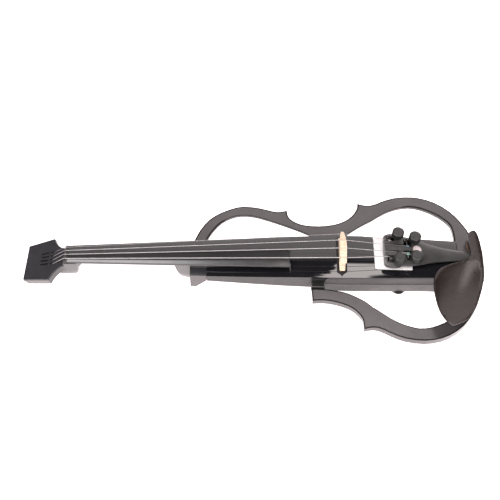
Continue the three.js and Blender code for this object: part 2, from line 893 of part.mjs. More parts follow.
// Places a piece drawn on the head's face: x away from the nut, y across, z out of the face.
function onHead(geometry) {
  const place = new THREE.Matrix4().makeBasis(
    vec(-Math.cos(headTilt), 0, -Math.sin(headTilt)),
    vec(0, -1, 0),
    vec(-Math.sin(headTilt), 0, Math.cos(headTilt)),
  );
  place.setPosition(nutX - nut.length / 2, 0, -head.drop);
  return geometry.applyMatrix4(place);
}

function headBlock() {
  const { thickness, bevel, undercut } = head;
  const depth = thickness - headPlate.thickness - bevel * 2;
  const options = {
    depth,
    bevelThickness: bevel,
    bevelSize: bevel,
    bevelOffset: -bevel,
    bevelSegments: 1,
    curveSegments: 8,
  };
  const blank = new THREE.ExtrudeGeometry(headOutline(0), options).translate(0, 0, bevel - thickness);
  const wedge = new THREE.ExtrudeGeometry(new THREE.Shape([
    flatPoint(head.length - undercut, -thickness),
    flatPoint(head.length, -thickness / 4),
    flatPoint(head.length + overrun, -thickness / 4),
    flatPoint(head.length + overrun, -thickness - overrun),
    flatPoint(head.length - undercut, -thickness - overrun),
  ]), { depth: head.flareHalf * 2, bevelEnabled: false });
  return onHead(cut(blank, wedge.rotateX(Math.PI / 2).translate(0, head.flareHalf, 0)));
}

const slotPlaces = [-1.5, -0.5, 0.5, 1.5];
const roundSteps = 6;

function slotCutters(width, low, high) {
  return slotPlaces.map((place) => {
    const start = flatPoint(slots.near, place * slots.nearPitch - slots.shift);
    const end = flatPoint(slots.far, place * slots.farPitch - slots.shift);
    const along = end.clone().sub(start).normalize();
    const across = flatPoint(-along.y, along.x).multiplyScalar(width / 2);
    const points = [];
    for (let i = 0; i <= roundSteps; i += 1) {
      const turn = (Math.PI * i) / roundSteps;
      points.push(end.clone().add(across.clone().rotateAround(flatPoint(0, 0), -turn)));
    }
    for (let i = 0; i <= roundSteps; i += 1) {
      const turn = (Math.PI * i) / roundSteps;
      points.push(start.clone().sub(across.clone().rotateAround(flatPoint(0, 0), -turn)));
    }
    return slab(points, low, high);
  });
}

function makeHeadPlate() {
  const options = { depth: headPlate.thickness - seat, bevelEnabled: false, curveSegments: 8 };
  const blank = new THREE.ExtrudeGeometry(headOutline(headPlate.inset), options);
  blank.translate(0, 0, -headPlate.thickness + seat);
  const nutSide = box(
    vec(-overrun, -head.flareHalf, -head.thickness),
    vec(nut.length / 2 + clearance * 3, head.flareHalf, overrun),
  );
  return onHead(cut(blank, nutSide, ...slotCutters(slots.width, -overrun * 2, overrun)));
}

function makeNeck() {
  const pocketFloor = headPlate.thickness + slots.pocketDepth;
  const pocket = onHead(box(
    vec(slots.near - slots.width, -slots.nearPitch * 2 - slots.shift, -pocketFloor),
    vec(slots.far + slots.width, slots.nearPitch * 2 - slots.shift, overrun),
  ));
  const overHead = onHead(box(
    vec(nut.length / 2 + clearance, -head.flareHalf * 2, -headPlate.thickness),
    vec(head.length * 2, head.flareHalf * 2, restDepth),
  ));
  const nutRoom = box(
    vec(nutX - nut.length - clearance, -fingerboard.halfAtNut * 2, boardAt(nutX).under - seat),
    vec(nutX + clearance, fingerboard.halfAtNut * 2, restDepth),
  );
  const blank = join(loft(neckRings()), neckRoot(), headBlock());
  const lifted = makeSpineBlank().translate(0, 0, clearance);
  const liftedBlock = makeUpperBlock().translate(0, 0, clearance);
  return cut(blank, pocket, overHead, nutRoom, lifted, liftedBlock);
}

function makeSpineBlank() {
  return loft(spineStations.map(spineRing));
}

// Open frames: a flat top, a deep outer wall and an underside that rises to a thin inner edge

const framePoint = ([x, y]) => flatPoint(x * frames.tail, y * frames.half);
const blockSide = block.half + clearance;
const tailSide = tailBlock.half + clearance;
const waistSide = body.halfWidth + housing.ridge + clearance;

const upperOuterShares = [
  [-0.986, 0.41], [-0.922, 0.575], [-0.834, 0.688], [-0.732, 0.766], [-0.662, 0.783],
  [-0.57, 0.769], [-0.466, 0.725], [-0.41, 0.719], [-0.362, 0.743],
];
const upperInnerShares = [
  [-0.921, 0.307], [-0.89, 0.407], [-0.838, 0.523], [-0.77, 0.606], [-0.688, 0.645],
  [-0.59, 0.631], [-0.492, 0.579], [-0.395, 0.519],
];
const trebleWaistOuterShares = [
  [-0.362, 0.743], [-0.351, 0.649], [-0.313, 0.582], [-0.244, 0.533], [-0.134, 0.521],
  [-0.023, 0.55], [0.062, 0.616], [0.12, 0.707], [0.151, 0.811], [0.155, 0.878],
];
const bassWaistOuterShares = [
  [-0.187, 0.527], [-0.116, 0.517], [-0.038, 0.532], [0.04, 0.573], [0.091, 0.621],
  [0.134, 0.699], [0.153, 0.776], [0.155, 0.878],
];
const bassWaistInnerShares = [
  [-0.193, 0.366], [-0.099, 0.368], [-0.035, 0.38], [0.022, 0.398], [0.095, 0.444],
  [0.171, 0.516], [0.221, 0.588],
];
const lowerOuterShares = [
  [0.155, 0.878], [0.208, 0.852], [0.265, 0.861], [0.337, 0.921], [0.419, 0.975], [0.529, 1],
  [0.622, 0.986], [0.718, 0.931], [0.81, 0.826], [0.873, 0.707], [0.92, 0.582], [0.948, 0.484],
  [0.977, 0.338],
];
const lowerInnerShares = [
  [0.221, 0.588], [0.257, 0.628], [0.344, 0.734], [0.43, 0.806], [0.524, 0.844], [0.614, 0.824],
  [0.708, 0.754], [0.774, 0.673], [0.82, 0.58], [0.832, 0.45], [0.834, 0.36],
];
const blockEndShares = { outer: -1.026, inner: -0.939 };
const tailEndShares = { outer: 0.985, inner: 0.834 };
const beforeWaistShares = [[-0.395, 0.519], [-0.299, 0.455], [-0.204, 0.382]];
const waistMeetShares = { near: -0.125, far: -0.004 };
const afterWaistShares = [[0.071, 0.406], [0.156, 0.516], [0.221, 0.588]];

// Pairs of points across the band, with how deep each wall is.
function bandStretch(outer, inner, steps, outerDepths, innerDepths) {
  const outerLine = smoothLine(outer, steps);
  const innerLine = smoothLine(inner, steps);
  return outerLine.map((point, i) => {
    const t = i / steps;
    const depth = (pair) => THREE.MathUtils.lerp(pair[0], pair[1], t) * frames.depth;
    return { outer: point, inner: innerLine[i], deep: depth(outerDepths), thin: depth(innerDepths) };
  });
}

const thinShare = frames.innerDepth / frames.depth;
const depthShares = { block: 0.7, corner: 0.5, waist: 0.55, tail: 0.82, tailInner: 0.5 };

const endPoint = (share, side) => flatPoint(share * frames.tail, side);

function lowerBout() {
  const outer = [...lowerOuterShares.map(framePoint), endPoint(tailEndShares.outer, tailSide)];
  const inner = [...lowerInnerShares.map(framePoint), endPoint(tailEndShares.inner, tailSide)];
  const { corner, tail, tailInner } = depthShares;
  return bandStretch(outer, inner, 22, [corner, tail], [thinShare, tailInner]);
}

function waistInner() {
  return [
    ...beforeWaistShares.map(framePoint),
    flatPoint(waistMeetShares.near * frames.tail, waistSide),
    flatPoint(waistMeetShares.far * frames.tail, waistSide),
    ...afterWaistShares.map(framePoint),
  ];
}

function bandBody(stretches, side) {
  const stations = stretches.flatMap((list, i) => (i === 0 ? list : list.slice(1)));
  return loft(stations.map(({ outer, inner, deep, thin }) => [
    vec(outer.x, side * outer.y, 0),
    vec(inner.x, side * inner.y, 0),
    vec(inner.x, side * inner.y, -thin),
    vec(outer.x, side * outer.y, -deep),
  ]));
}

function makeTrebleFrame() {
  const upperOuter = [endPoint(blockEndShares.outer, blockSide), ...upperOuterShares.map(framePoint)];
  const upperInner = [endPoint(blockEndShares.inner, blockSide), ...upperInnerShares.map(framePoint)];
  const { block: start, corner } = depthShares;
  const upper = bandStretch(upperOuter, upperInner, 18, [start, corner], [thinShare * 2, thinShare]);
  const waistOuter = trebleWaistOuterShares.map(framePoint);
  const waist = bandStretch(waistOuter, waistInner(), 20, [corner, corner], [thinShare, thinShare]);
  waist.forEach(({ inner }) => inner.setY(Math.max(inner.y, waistSide)));
  return bandBody([upper, waist, lowerBout()], 1);
}

const bracketSide = waistSide - housing.ridge + bracket.reach + clearance;

function makeBassFrame() {
  const { waist, corner } = depthShares;
  const [outer, inner] = [bassWaistOuterShares, bassWaistInnerShares].map((shares) => shares.map(framePoint));
  const meet = bandStretch(outer, inner, 13, [waist, corner], [thinShare * 2, thinShare]);
  meet.forEach((station) => station.inner.setY(Math.max(station.inner.y, bracketSide)));
  return bandBody([meet, lowerBout()], -1);
}

function makeBracket() {
  const inner = waistSide - housing.ridge;
  const outer = inner + bracket.reach;
  const near = housingFront - clearance;
  const far = near - bracket.length;
  const tray = box(vec(far, -outer, -bracket.depth), vec(near, -inner, bracket.top));
  const flange = box(vec(far, -inner - bracket.flange, 0), vec(near, -inner, bracket.flangeTop));
  const pocket = box(
    vec(far + bracket.rim, -outer + bracket.rim, bracket.top - bracket.pocket),
    vec(near - bracket.rim, -inner - bracket.flange, bracket.top + overrun),
  );
  return cut(join(tray, flange), pocket);
}

function makeBracketScrew() {
  const x = housingFront - clearance - bracket.length / 2;
  const y = -(waistSide - housing.ridge + (bracket.reach - bracket.rim + bracket.flange) / 2);
  const radius = (bracket.reach - bracket.rim - bracket.flange) / 2 - clearance;
  const height = bracket.pocket - clearance;
  const profile = [[0, 0], [radius, 0], [radius - height / 2, height], [0, height]];
  return turned(profile, 12).rotateX(Math.PI / 2).translate(x, y, bracket.top - bracket.pocket + seat);
}

// The block at the tail, which the strings pull on

const tailFrontX = body.tailEnd + seat;

function makeTailBlock() {
  const { half, end, bow, depth, topHeight } = tailBlock;
  const bowSteps = 8;
  const rear = Array.from({ length: bowSteps + 1 }, (_, i) => {
    const y = half * ((2 * i) / bowSteps - 1);
    return flatPoint(end - bow * (y / half) ** 2, y);
  });
  const outline = [...rear, flatPoint(tailFrontX, half), flatPoint(tailFrontX, -half)];
  const blank = slab(outline, -depth, topHeight);
  const slotCut = box(
    vec(tailFrontX - overrun, -half - overrun, topHeight - tailBlock.slotDepth),
    vec(tailFrontX + tailBlock.slot, half + overrun, topHeight + overrun),
  );
  const notches = [-1, 1].map((side) => join(
    box(
      vec(clamp.x, side * clamp.at - tailBlock.notch / 2, -depth - overrun),
      vec(end + overrun, side * clamp.at + tailBlock.notch / 2, topHeight + overrun),
    ),
    post(clamp.x, side * clamp.at, -depth - overrun, topHeight + overrun, tailBlock.notch / 2, 16),
  ));
  const { headRadius, headLength, stemRadius, stemLength, recess, height } = endPin;
  const room = (radius, from) => {
    const length = end - from + overrun;
    const bore = new THREE.CylinderGeometry(radius, radius, length, 24);
    return bore.rotateZ(Math.PI / 2).translate(from + length / 2, 0, height);
  };
  const headRoom = room(headRadius + headLength, end - recess);
  const stemRoom = room(stemRadius + clearance, end - recess - stemLength);
  const groove = box(
    vec(end - recess, -gutRound - gut.radius - clearance, height),
    vec(end + overrun, gutRound + gut.radius + clearance, topHeight + overrun),
  );
  const saddleRoom = box(
    vec(saddleX() - clearance, -saddle.half - clearance, topHeight - saddle.height / 3),
    vec(end - recess + clearance, saddle.half + clearance, topHeight + overrun),
  );
  return cut(blank, slotCut, ...notches, headRoom, stemRoom, groove, saddleRoom);
}

const gutRound = endPin.headRadius - endPin.headLength + gut.radius + clearance;

function saddleX() {
  return tailBlock.end - endPin.recess - saddle.length - clearance;
}

function makeSaddle() {
  const low = tailBlock.topHeight - saddle.height / 3 + seat;
  const high = low + saddle.height;
  const x = saddleX();
  const profile = [
    flatPoint(x, low),
    flatPoint(x + saddle.length, low),
    flatPoint(x + saddle.length, high - saddle.length / 2),
    flatPoint(x + saddle.length * 0.8, high - saddle.length / 6),
    flatPoint(x + saddle.length / 2, high),
    flatPoint(x, high - saddle.length / 6),
  ];
  return slab(profile, -saddle.half, saddle.half).rotateX(Math.PI / 2);
}

function makeEndPin() {
  const { headRadius, headLength, stemRadius, stemLength, recess, height } = endPin;
  const neckRadius = headRadius - headLength;
  const start = tailBlock.end - recess - stemLength + clearance;
  const profile = [
    [0, 0],
    [stemRadius, 0],
    [stemRadius, stemLength],
    [neckRadius, stemLength + clearance],
    [neckRadius, stemLength + recess - headLength - clearance],
    [headRadius, stemLength + recess - headLength],
    [headRadius * 0.9, stemLength + recess - clearance],
    [0, stemLength + recess],
  ];
  return turned(profile, 20).rotateZ(-Math.PI / 2).translate(start, 0, height);
}

// Bridge and the plate under it that holds the pickup

const baseTop = topOf(0) + bridgeBase.height;
const crownAt = (y) => bridge.crownRadius - Math.sqrt(bridge.crownRadius ** 2 - y ** 2);
const bridgeTopAt = (y) => baseTop + seat + bridge.height - crownAt(y);

function makeBridgeBase() {
  const { length, half, tab, tabLength } = bridgeBase;
  const outline = [
    flatPoint(-length / 2, half - length / 6),
    flatPoint(-length / 3, half),
    flatPoint(length / 3, half),
    flatPoint(length / 2, half - length / 6),
    flatPoint(length / 2, -half + length / 6),
    flatPoint(tabLength / 2, -half),
    flatPoint(0, -half - tab),
    flatPoint(-tabLength / 2, -half),
    flatPoint(-length / 2, -half + length / 6),
  ];
  const blank = slab(outline.reverse(), body.topHeight / 2, baseTop);
  const leadHole = post(lead.at, 0, 0, baseTop - seat - bridgeBase.height / 3, lead.radius + clearance, 12);
  return cut(blank.translate(bridge.at, 0, 0), makeSpineBlank().translate(0, 0, seat), leadHole);
}

function makePickupLead() {
  const top = baseTop - bridgeBase.height / 3 - clearance;
  return tube([
    vec(lead.at, 0, -housing.coreDepth - seat),
    vec(lead.at, 0, top / 2),
    vec(lead.at, 0, top),
  ], lead.radius, 8);
}

// How thick the top edge is from the treble corner to the bass corner.
const bridgeEdgeShares = [
  [-1, 0.14], [-0.9, 0.3], [-0.66, 0.6], [-0.4, 0.82], [-0.1, 0.95],
  [0.2, 1], [0.5, 0.97], [0.8, 0.9], [1, 0.86],
];

function bridgeEdgeAt(y) {
  const place = THREE.MathUtils.clamp(-y / bridge.topHalf, -1, 1);
  return readTable(bridgeEdgeShares, place)[1] * bridge.waistThickness;
}

function bridgeHalfOutline() {
  const { footHalf, topHalf, height, archHalf } = bridge;
  const up = (share) => share * height;
  const across = (share) => share * footHalf;
  const footShares = [
    [1, 0], [0.98, 0.06], [0.84, 0.13], [0.66, 0.2], [0.6, 0.27], [0.64, 0.36], [0.7, 0.42],
  ];
  const eyeShares = [
    [0.55, 0.45], [0.47, 0.52], [0.5, 0.6], [0.62, 0.63], [0.78, 0.57], [0.9, 0.6], [0.96, 0.68],
  ];
  const side = [...footShares, ...eyeShares].map(([y, z]) => flatPoint(across(y), up(z)));
  const crown = [1, 0.9, 0.78, 0.62, 0.42, 0.22, 0].map((share) => (
    flatPoint(share * topHalf, height - crownAt(share * topHalf))));
  const arch = [0, 0.35, 0.7, 0.95, 1].map((share) => (
    flatPoint(share * archHalf, up(0.2) * Math.sqrt(Math.max(0, 1 - share ** 2)))));
  return { side, crown, arch };
}

function makeBridge() {
  const { side, crown, arch } = bridgeHalfOutline();
  const right = [...arch.slice(1), ...side, ...crown];
  const left = right.slice(0, -1).map((p) => flatPoint(-p.x, p.y)).reverse();
  const shape = new THREE.Shape([...right, ...left, flatPoint(0, arch[0].y)]);
  const heartShares = [[0, 0.4], [0.08, 0.5], [0.16, 0.6], [0.12, 0.68], [0.04, 0.67], [0, 0.62]];
  const heartRight = heartShares.map(([y, z]) => flatPoint(y * bridge.footHalf, z * bridge.height));
  const heartLeft = heartRight.slice(1, -1).map((p) => flatPoint(-p.x, p.y)).reverse();
  shape.holes.push(new THREE.Path([...heartRight, ...heartLeft]));
  const plate = new THREE.ExtrudeGeometry(shape, { depth: 1, bevelEnabled: false }).translate(0, 0, -0.5);
  const place = plate.attributes.position;
  for (let i = 0; i < place.count; i += 1) {
    const [y, z, depth] = [place.getX(i), place.getY(i), place.getZ(i)];
    const rise = Math.sqrt(Math.min(1, z / bridge.footTaper));
    const tall = THREE.MathUtils.lerp(bridge.waistThickness, bridgeEdgeAt(y), z / bridge.height);
    const thickness = THREE.MathUtils.lerp(bridge.footThickness, tall, rise);
    place.setXYZ(i, bridge.at + depth * thickness, y, z + baseTop + seat);
  }
  return plate;
}

// Tailpiece with a tuning machine for each string

const tailpieceLength = tailpiece.end - tailpiece.front;
const tailpieceShares = smoothed([
  [0, 0.84, 0],
  [0.03, 0.95, 0.03],
  [0.08, 1, 0.02],
  [0.13, 0.99, 0.03],
  [0.165, 0.87, 0.05],
  [0.24, 0.845, 0.09],
  [0.32, 0.8, 0.15],
  [0.42, 0.69, 0.3],
  [0.56, 0.5, 0.57],
  [0.74, 0.36, 0.82],
  [0.94, 0.25, 0.93],
  [1, 0.22, 1],
], 20);
const gutShares = { hole: 0.6, depth: 0.6, lip: 0.8, drop: 1.2 };
const tongue = { fall: 12, edgeFall: 9, underFall: 3.8, side: 3.4 };

function tailpieceAt(x) {
  const [, halfShare, fallShare] = readTable(tailpieceShares, (x - tailpiece.front) / tailpieceLength);
  return {
    half: halfShare * tailpiece.half,
    top: tailpiece.topHeight - fallShare * tongue.fall,
    edge: tailpiece.edgeHeight - fallShare * tongue.edgeFall,
    under: tailpiece.underside - fallShare * tongue.underFall,
  };
}

function tailpieceTopAt(x, y) {
  const { half, top, edge } = tailpieceAt(x);
  return edge + (top - edge) * (1 - (y / half) ** 2);
}

function tailpieceBlank() {
  const stations = tailpieceShares.map(([place]) => tailpiece.front + place * tailpieceLength);
  return loft(stations.map((x) => {
    const { half, edge, under } = tailpieceAt(x);
    const ring = [1, 0.76, 0.4, 0, -0.4, -0.76, -1].map((share) => (
      vec(x, share * half, tailpieceTopAt(x, share * half))));
    const foot = (edge + under) / 2;
    const narrow = half * (1 - tongue.side / tailpiece.half);
    ring.push(vec(x, -half, foot), vec(x, -narrow, under), vec(x, narrow, under), vec(x, half, foot));
    return ring;
  }));
}

const centreDistance = tuner.wheelRadius + tuner.wormRadius + clearance;
const machineFloor = tailpiece.underside + tailpiece.floor;
const stringNames = ['e', 'a', 'd', 'g'];
const sideOf = { e: 1, a: 1, d: -1, g: -1 };

function machine(name) {
  const { x, y, knobTop } = tunerPlaces[name];
  const side = sideOf[name];
  const outer = name === 'e' || name === 'g';
  const stringY = (side * (outer ? stringSet.spanAtTail : stringSet.innerSpanAtTail)) / 2;
  const drumX = x - centreDistance;
  const wheelOut = side * y + tuner.wheelWidth / 2;
  const drumIn = side * stringY - tuner.windingWidth / 2 - clearance;
  return { x, y, side, stringY, drumX, wheelOut, drumIn, knobTop, knobFoot: knobTop - tuner.knobHeight };
}

function sideBox(side, lowX, highX, inner, outer, lowZ, highZ) {
  const [a, b] = [side * inner, side * outer];
  return box(vec(lowX, Math.min(a, b), lowZ), vec(highX, Math.max(a, b), highZ));
}

function machineRoom(name) {
  const m = machine(name);
  const above = tailpiece.topHeight + overrun;
  const reach = tuner.wheelRadius + tuner.toothHeight + clearance;
  const pocket = sideBox(
    m.side, m.drumX - reach, m.drumX + reach,
    m.drumIn - clearance, m.wheelOut + clearance, tuner.axleHeight - reach, above,
  );
  const wormRoom = post(m.x, m.y, machineFloor, above, tuner.wormRadius + tuner.threadHeight + clearance, 20);
  const journalRoom = rod(
    m.drumX, tuner.axleHeight,
    Math.min(m.side * (m.drumIn - tuner.journal * 2), m.side * (m.wheelOut + tuner.journal * 2)),
    Math.max(m.side * (m.drumIn - tuner.journal * 2), m.side * (m.wheelOut + tuner.journal * 2)),
    bearing(tuner.journal, 12), 12,
  );
  const shaftRoom = post(m.x, m.y, 0, above, bearing(tuner.shaft, 12), 12);
  const front = tailpiece.front - overrun;
  const half = tuner.channel / 2;
  const low = stringSet.tailHeight - stringRadii[name] - seat * 3;
  const notch = box(vec(front, m.stringY - half, low), vec(m.drumX, m.stringY + half, above));
  const channelFloor = tuner.axleHeight + tuner.drumRadius / 2;
  const channel = box(
    vec(tailpiece.front + tailpiece.notchLength, m.stringY - half, channelFloor),
    vec(m.drumX, m.stringY + half, above),
  );
  return [pocket, wormRoom, shaftRoom, journalRoom, notch, channel];
}

function makeTailpiece() {
  const apart = (tailpiece.gutSpan / 2) * gutShares.hole;
  const at = tailpiece.end - tongue.fall;
  const { under, top } = tailpieceAt(at);
  const floor = THREE.MathUtils.lerp(under, top, gutShares.depth);
  const holes = [-1, 1].map((side) => post(at, side * apart, 0, floor, tailpiece.gutHole, 12));
  return cut(tailpieceBlank(), ...stringNames.flatMap(machineRoom), ...holes);
}

// A worm is a round bar set off its axis and twisted, which leaves one round thread.
const leadOfThread = (2 * Math.PI * tuner.wheelRadius) / tuner.teeth;

function makeWorm(name) {
  const m = machine(name);
  const low = machineFloor + clearance;
  const turns = tuner.wormLength / leadOfThread;
  const ringsPerTurn = 6;
  const count = Math.round(turns * ringsPerTurn);
  const rings = [];
  for (let i = 0; i <= count; i += 1) {
    const z = low + (i * leadOfThread) / ringsPerTurn;
    const turn = (2 * Math.PI * (z - tuner.axleHeight)) / leadOfThread;
    const ring = [];
    for (let k = 0; k < 8; k += 1) {
      const angle = (2 * Math.PI * k) / 8;
      ring.push(vec(
        m.x + tuner.threadHeight * Math.cos(turn) + tuner.wormRadius * Math.cos(angle),
        m.y + tuner.threadHeight * Math.sin(turn) + tuner.wormRadius * Math.sin(angle),
        z,
      ));
    }
    rings.push(ring);
  }
  const shaft = post(m.x, m.y, tailpiece.underside + clearance, m.knobFoot + tuner.bore, tuner.shaft, 12);
  return join(loft(rings), shaft, makeKnob(name));
}

const knobRimShare = 0.12;

function makeKnob(name) {
  const m = machine(name);
  const { knobRadius, knobHeight, dish } = tuner;
  const rim = knobRadius * knobRimShare;
  const profile = [
    [0, 0],
    [knobRadius - rim, 0],
    [knobRadius, rim],
    [knobRadius, knobHeight - rim],
    [knobRadius - rim, knobHeight],
    [knobRadius - rim * 2, knobHeight - dish],
    [0, knobHeight - dish],
  ];
  return turned(profile, 22).rotateX(Math.PI / 2).translate(m.x, m.y, m.knobFoot);
}

function wheelOutline() {
  const steps = tuner.teeth * 4;
  return Array.from({ length: steps }, (_, i) => {
    const angle = (2 * Math.PI * i) / steps;
    const reach = tuner.wheelRadius + tuner.toothHeight * Math.cos(tuner.teeth * angle);
    return flatPoint(reach * Math.cos(angle), reach * Math.sin(angle));
  });
}

function makeDrum(name) {
  const m = machine(name);
  const wheel = slab(wheelOutline(), 0, tuner.wheelWidth);
  wheel.rotateX(Math.PI / 2).translate(m.drumX, m.y + tuner.wheelWidth / 2, tuner.axleHeight);
  const ends = (inner, outer) => [m.side * inner, m.side * outer].sort((a, b) => a - b);
  const [drumLow, drumHigh] = ends(m.drumIn, m.wheelOut - tuner.wheelWidth / 2);
  const reach = tuner.journal * 2 - clearance;
  const [axleLow, axleHigh] = ends(m.drumIn - reach, m.wheelOut + reach);
  return join(
    wheel,
    rod(m.drumX, tuner.axleHeight, drumLow, drumHigh, tuner.drumRadius, 12),
    rod(m.drumX, tuner.axleHeight, axleLow, axleHigh, tuner.journal, 12),
  );
}

const ropeShares = [[0.1, 0.7], [0.5, 1], [0.9, 0.7]];

function makeWinding(name) {
  const m = machine(name);
  const { drumRadius, windingRadius, windingWidth } = tuner;
  const turns = 3;
  const pitch = windingWidth / turns;
  const inner = drumRadius + seat;
  const rope = windingRadius - inner;
  const profile = [[inner, -windingWidth / 2]];
  for (let i = 0; i < turns; i += 1) {
    const start = -windingWidth / 2 + i * pitch;
    ropeShares.forEach(([along, out]) => profile.push([inner + rope * out, start + pitch * along]));
  }
  profile.push([inner, windingWidth / 2], [inner, -windingWidth / 2]);
  return turned(profile, 12).translate(m.drumX, m.stringY, tuner.axleHeight);
}

function makeFoamPad() {
  const { front, end, bassSide, trebleSide, thickness } = foam;
  const blank = box(vec(front, -bassSide, 0), vec(end, trebleSide, tailpiece.underside));
  const skin = makeSpineBlank().translate(0, 0, thickness + seat);
  return cut(common(blank, skin), makeSpineBlank().translate(0, 0, seat));
}

function makeDot() {
  const low = tailpieceTopAt(dot.at, dot.radius) - dot.thickness;
  const disc = post(dot.at, 0, low, tailpieceTopAt(dot.at - dot.radius, 0) + dot.thickness, dot.radius, 24);
  const lifted = tailpieceBlank();
  const skin = tailpieceBlank().translate(0, 0, dot.thickness + seat);
  return cut(common(disc, skin), lifted.translate(0, 0, seat));
}

function makeTailGut() {
  const half = tailpiece.gutSpan / 2;
  const hole = tailpiece.end - tongue.fall;
  const over = saddleX() + saddle.length / 2;
  const top = tailBlock.topHeight - saddle.height / 3 + seat + saddle.height + gut.radius + seat * 2;
  const under = tailpieceAt(tailpiece.end).under - gut.radius - clearance;
  const rear = tailBlock.end - endPin.recess + gut.radius * 2;
  const pinHeight = endPin.height;
  const points = [
    vec(hole, half * gutShares.hole, under),
    vec(tailpiece.end, half * gutShares.lip, under),
    vec(over - saddle.length / 2, half, top),
    vec(over + saddle.length / 4, half, top),
    vec(rear, half * gutShares.drop, top - saddle.length),
    vec(rear, gutRound, pinHeight + gutRound),
  ];
  for (let i = 0; i <= roundSteps; i += 1) {
    const angle = (Math.PI * i) / roundSteps;
    points.push(vec(rear, gutRound * Math.cos(angle), pinHeight - gutRound * Math.sin(angle)));
  }
  const back = points.slice(0, 6).map((p) => vec(p.x, -p.y, p.z)).reverse();
  return tube([...points, ...back], gut.radius, 8);
}

// Strings, held taut from the slots in the head to the drums in the tailpiece

function nutTopAt(y) {
  const face = boardAt(nutX);
  return face.edge + crownRise(face.half, y, fingerboard.crownRadius) + nut.rise / 2;
}

function makeString(name) {
  const radius = stringRadii[name];
  const order = 1.5 - stringNames.indexOf(name);
  const atNut = (order * stringSet.spanAtNut) / 3;
  const atBridge = (order * stringSet.spanAtBridge) / 3;
  const m = machine(name);
  const lift = radius + seat * 2;
  const rest = bridgeEdgeAt(atBridge) / 2;
  const local = onHead(new THREE.BufferGeometry().setFromPoints([
    vec(slots.anchor, -order * slots.nearPitch - slots.shift, -headPlate.thickness - ball.radius - clearance),
  ]));
  const anchor = new THREE.Vector3().fromBufferAttribute(local.attributes.position, 0);
  const drumTop = tuner.axleHeight + tuner.windingRadius + clearance + radius;
  const points = [
    anchor,
    vec(nutX - nut.length, atNut, nutTopAt(atNut) + lift),
    vec(nutX, atNut, nutTopAt(atNut) + lift),
    vec(bridge.at - rest, atBridge, bridgeTopAt(atBridge) + lift),
    vec(bridge.at + rest, atBridge, bridgeTopAt(atBridge) + lift),
    vec(tailpiece.front + seat, m.stringY, stringSet.tailHeight + seat * 2),
    vec(tailpiece.front + tailpiece.notchLength, m.stringY, stringSet.tailHeight + seat * 2),
    vec(m.drumX, m.stringY, drumTop),
  ];
  const cylinder = new THREE.CylinderGeometry(ball.radius, ball.radius, ball.length, 12);
  const ballEnd = cylinder.translate(anchor.x, anchor.y, anchor.z);
  return join(tube(points, radius, 8), ballEnd);
}

// Chinrest over the tail, with corks and a turnbuckle clamp

// Outline of the plate and its arm, along from the plate's front edge and across from the middle line.
const chinrestShares = [
  [0, 0.418], [-0.008, 0.509], [0.005, 0.618], [0.039, 0.747], [0.092, 0.853], [0.161, 0.934],
  [0.223, 0.98], [0.266, 0.996], [0.326, 0.986], [0.482, 0.94], [0.61, 0.882], [0.71, 0.78],
  [0.805, 0.65], [0.892, 0.504], [0.953, 0.37], [0.985, 0.264], [1, 0.121], [1.003, -0.023],
  [0.992, -0.141], [0.979, -0.221], [0.96, -0.296], [0.932, -0.342], [0.884, -0.349], [0.819, -0.331],
  [0.765, -0.29], [0.752, -0.22], [0.76, -0.144], [0.776, -0.052], [0.777, -0.011], [0.752, 0.042],
  [0.656, 0.096], [0.531, 0.12], [0.356, 0.157], [0.205, 0.2], [0.102, 0.255], [0.029, 0.335],
];

// The line down the middle of the arm and the plate, which every ring shrinks towards.
const chinrestMiddleShares = [[0.881, -0.224], [0.881, 0.082], [0.774, 0.306], [0.452, 0.53], [0.323, 0.796]];
const chinrestPoint = ([x, y]) => flatPoint(chinrest.x + x * chinrest.length, -y * chinrest.half);

function nearestOnLine(line, point) {
  let best = line[0];
  line.slice(1).forEach((end, i) => {
    const start = line[i];
    const along = end.clone().sub(start);
    const share = THREE.MathUtils.clamp(point.clone().sub(start).dot(along) / along.lengthSq(), 0, 1);
    const found = start.clone().addScaledVector(along, share);
    if (found.distanceTo(point) < best.distanceTo(point)) best = found;
  });
  return best;
}

// Height of the plate's upper face, which is flat round a dish with an oval rim.
function chinrestTop(point) {
  const { rimHeight, dish, dishX, dishY, dishHalf, dishReach, dishTurn } = chinrest;
  const place = flatPoint(point.x - dishX, point.y - dishY);
  place.rotateAround(flatPoint(0, 0), -THREE.MathUtils.degToRad(dishTurn));
  const apart = Math.hypot(place.x / dishReach, place.y / dishHalf);
  return rimHeight - dish * Math.max(0, 1 - apart ** 2) ** dishFullness;
}

const dishFullness = 1.5;

// The rounded rim of the flat sheet: how far out each ring is, and how high in the thickness.
const chinrestRimShares = [[0.93, 0], [0.98, 0.12], [1, 0.5], [0.985, 0.88], [0.95, 1]];

// A flat sheet with a rounded rim is split up finely and then bent to the dish.
function makeChinrest() {
  const line = new THREE.SplineCurve([...chinrestShares, chinrestShares[0]].map(chinrestPoint));
  const outline = line.getPoints(64).slice(0, -1);
  const middle = chinrestMiddleShares.map(chinrestPoint);
  const ring = ([share, level]) => outline.map((point) => {
    const place = nearestOnLine(middle, point).clone().lerp(point, share);
    return vec(place.x, place.y, level);
  });
  const sheet = solid(loft(chinrestRimShares.map(ring))).refineToLength(chinrest.step);
  const bent = sheet.warp((place) => {
    const top = chinrestTop(flatPoint(place[0], place[1]));
    place[2] = top - (1 - place[2]) * chinrest.thickness;
  });
  const room = tailpieceBlank().translate(0, 0, clearance);
  return cut(join(surface(bent), ...chinFeet()), room, ...rodRooms());
}

function rodRooms() {
  const top = chinrest.rimHeight - chinrest.thickness / 2;
  return [-1, 1].map((side) => (
    post(clamp.x, side * clamp.at, tailBlock.topHeight, top, clamp.rod + clearance, 12)));
}

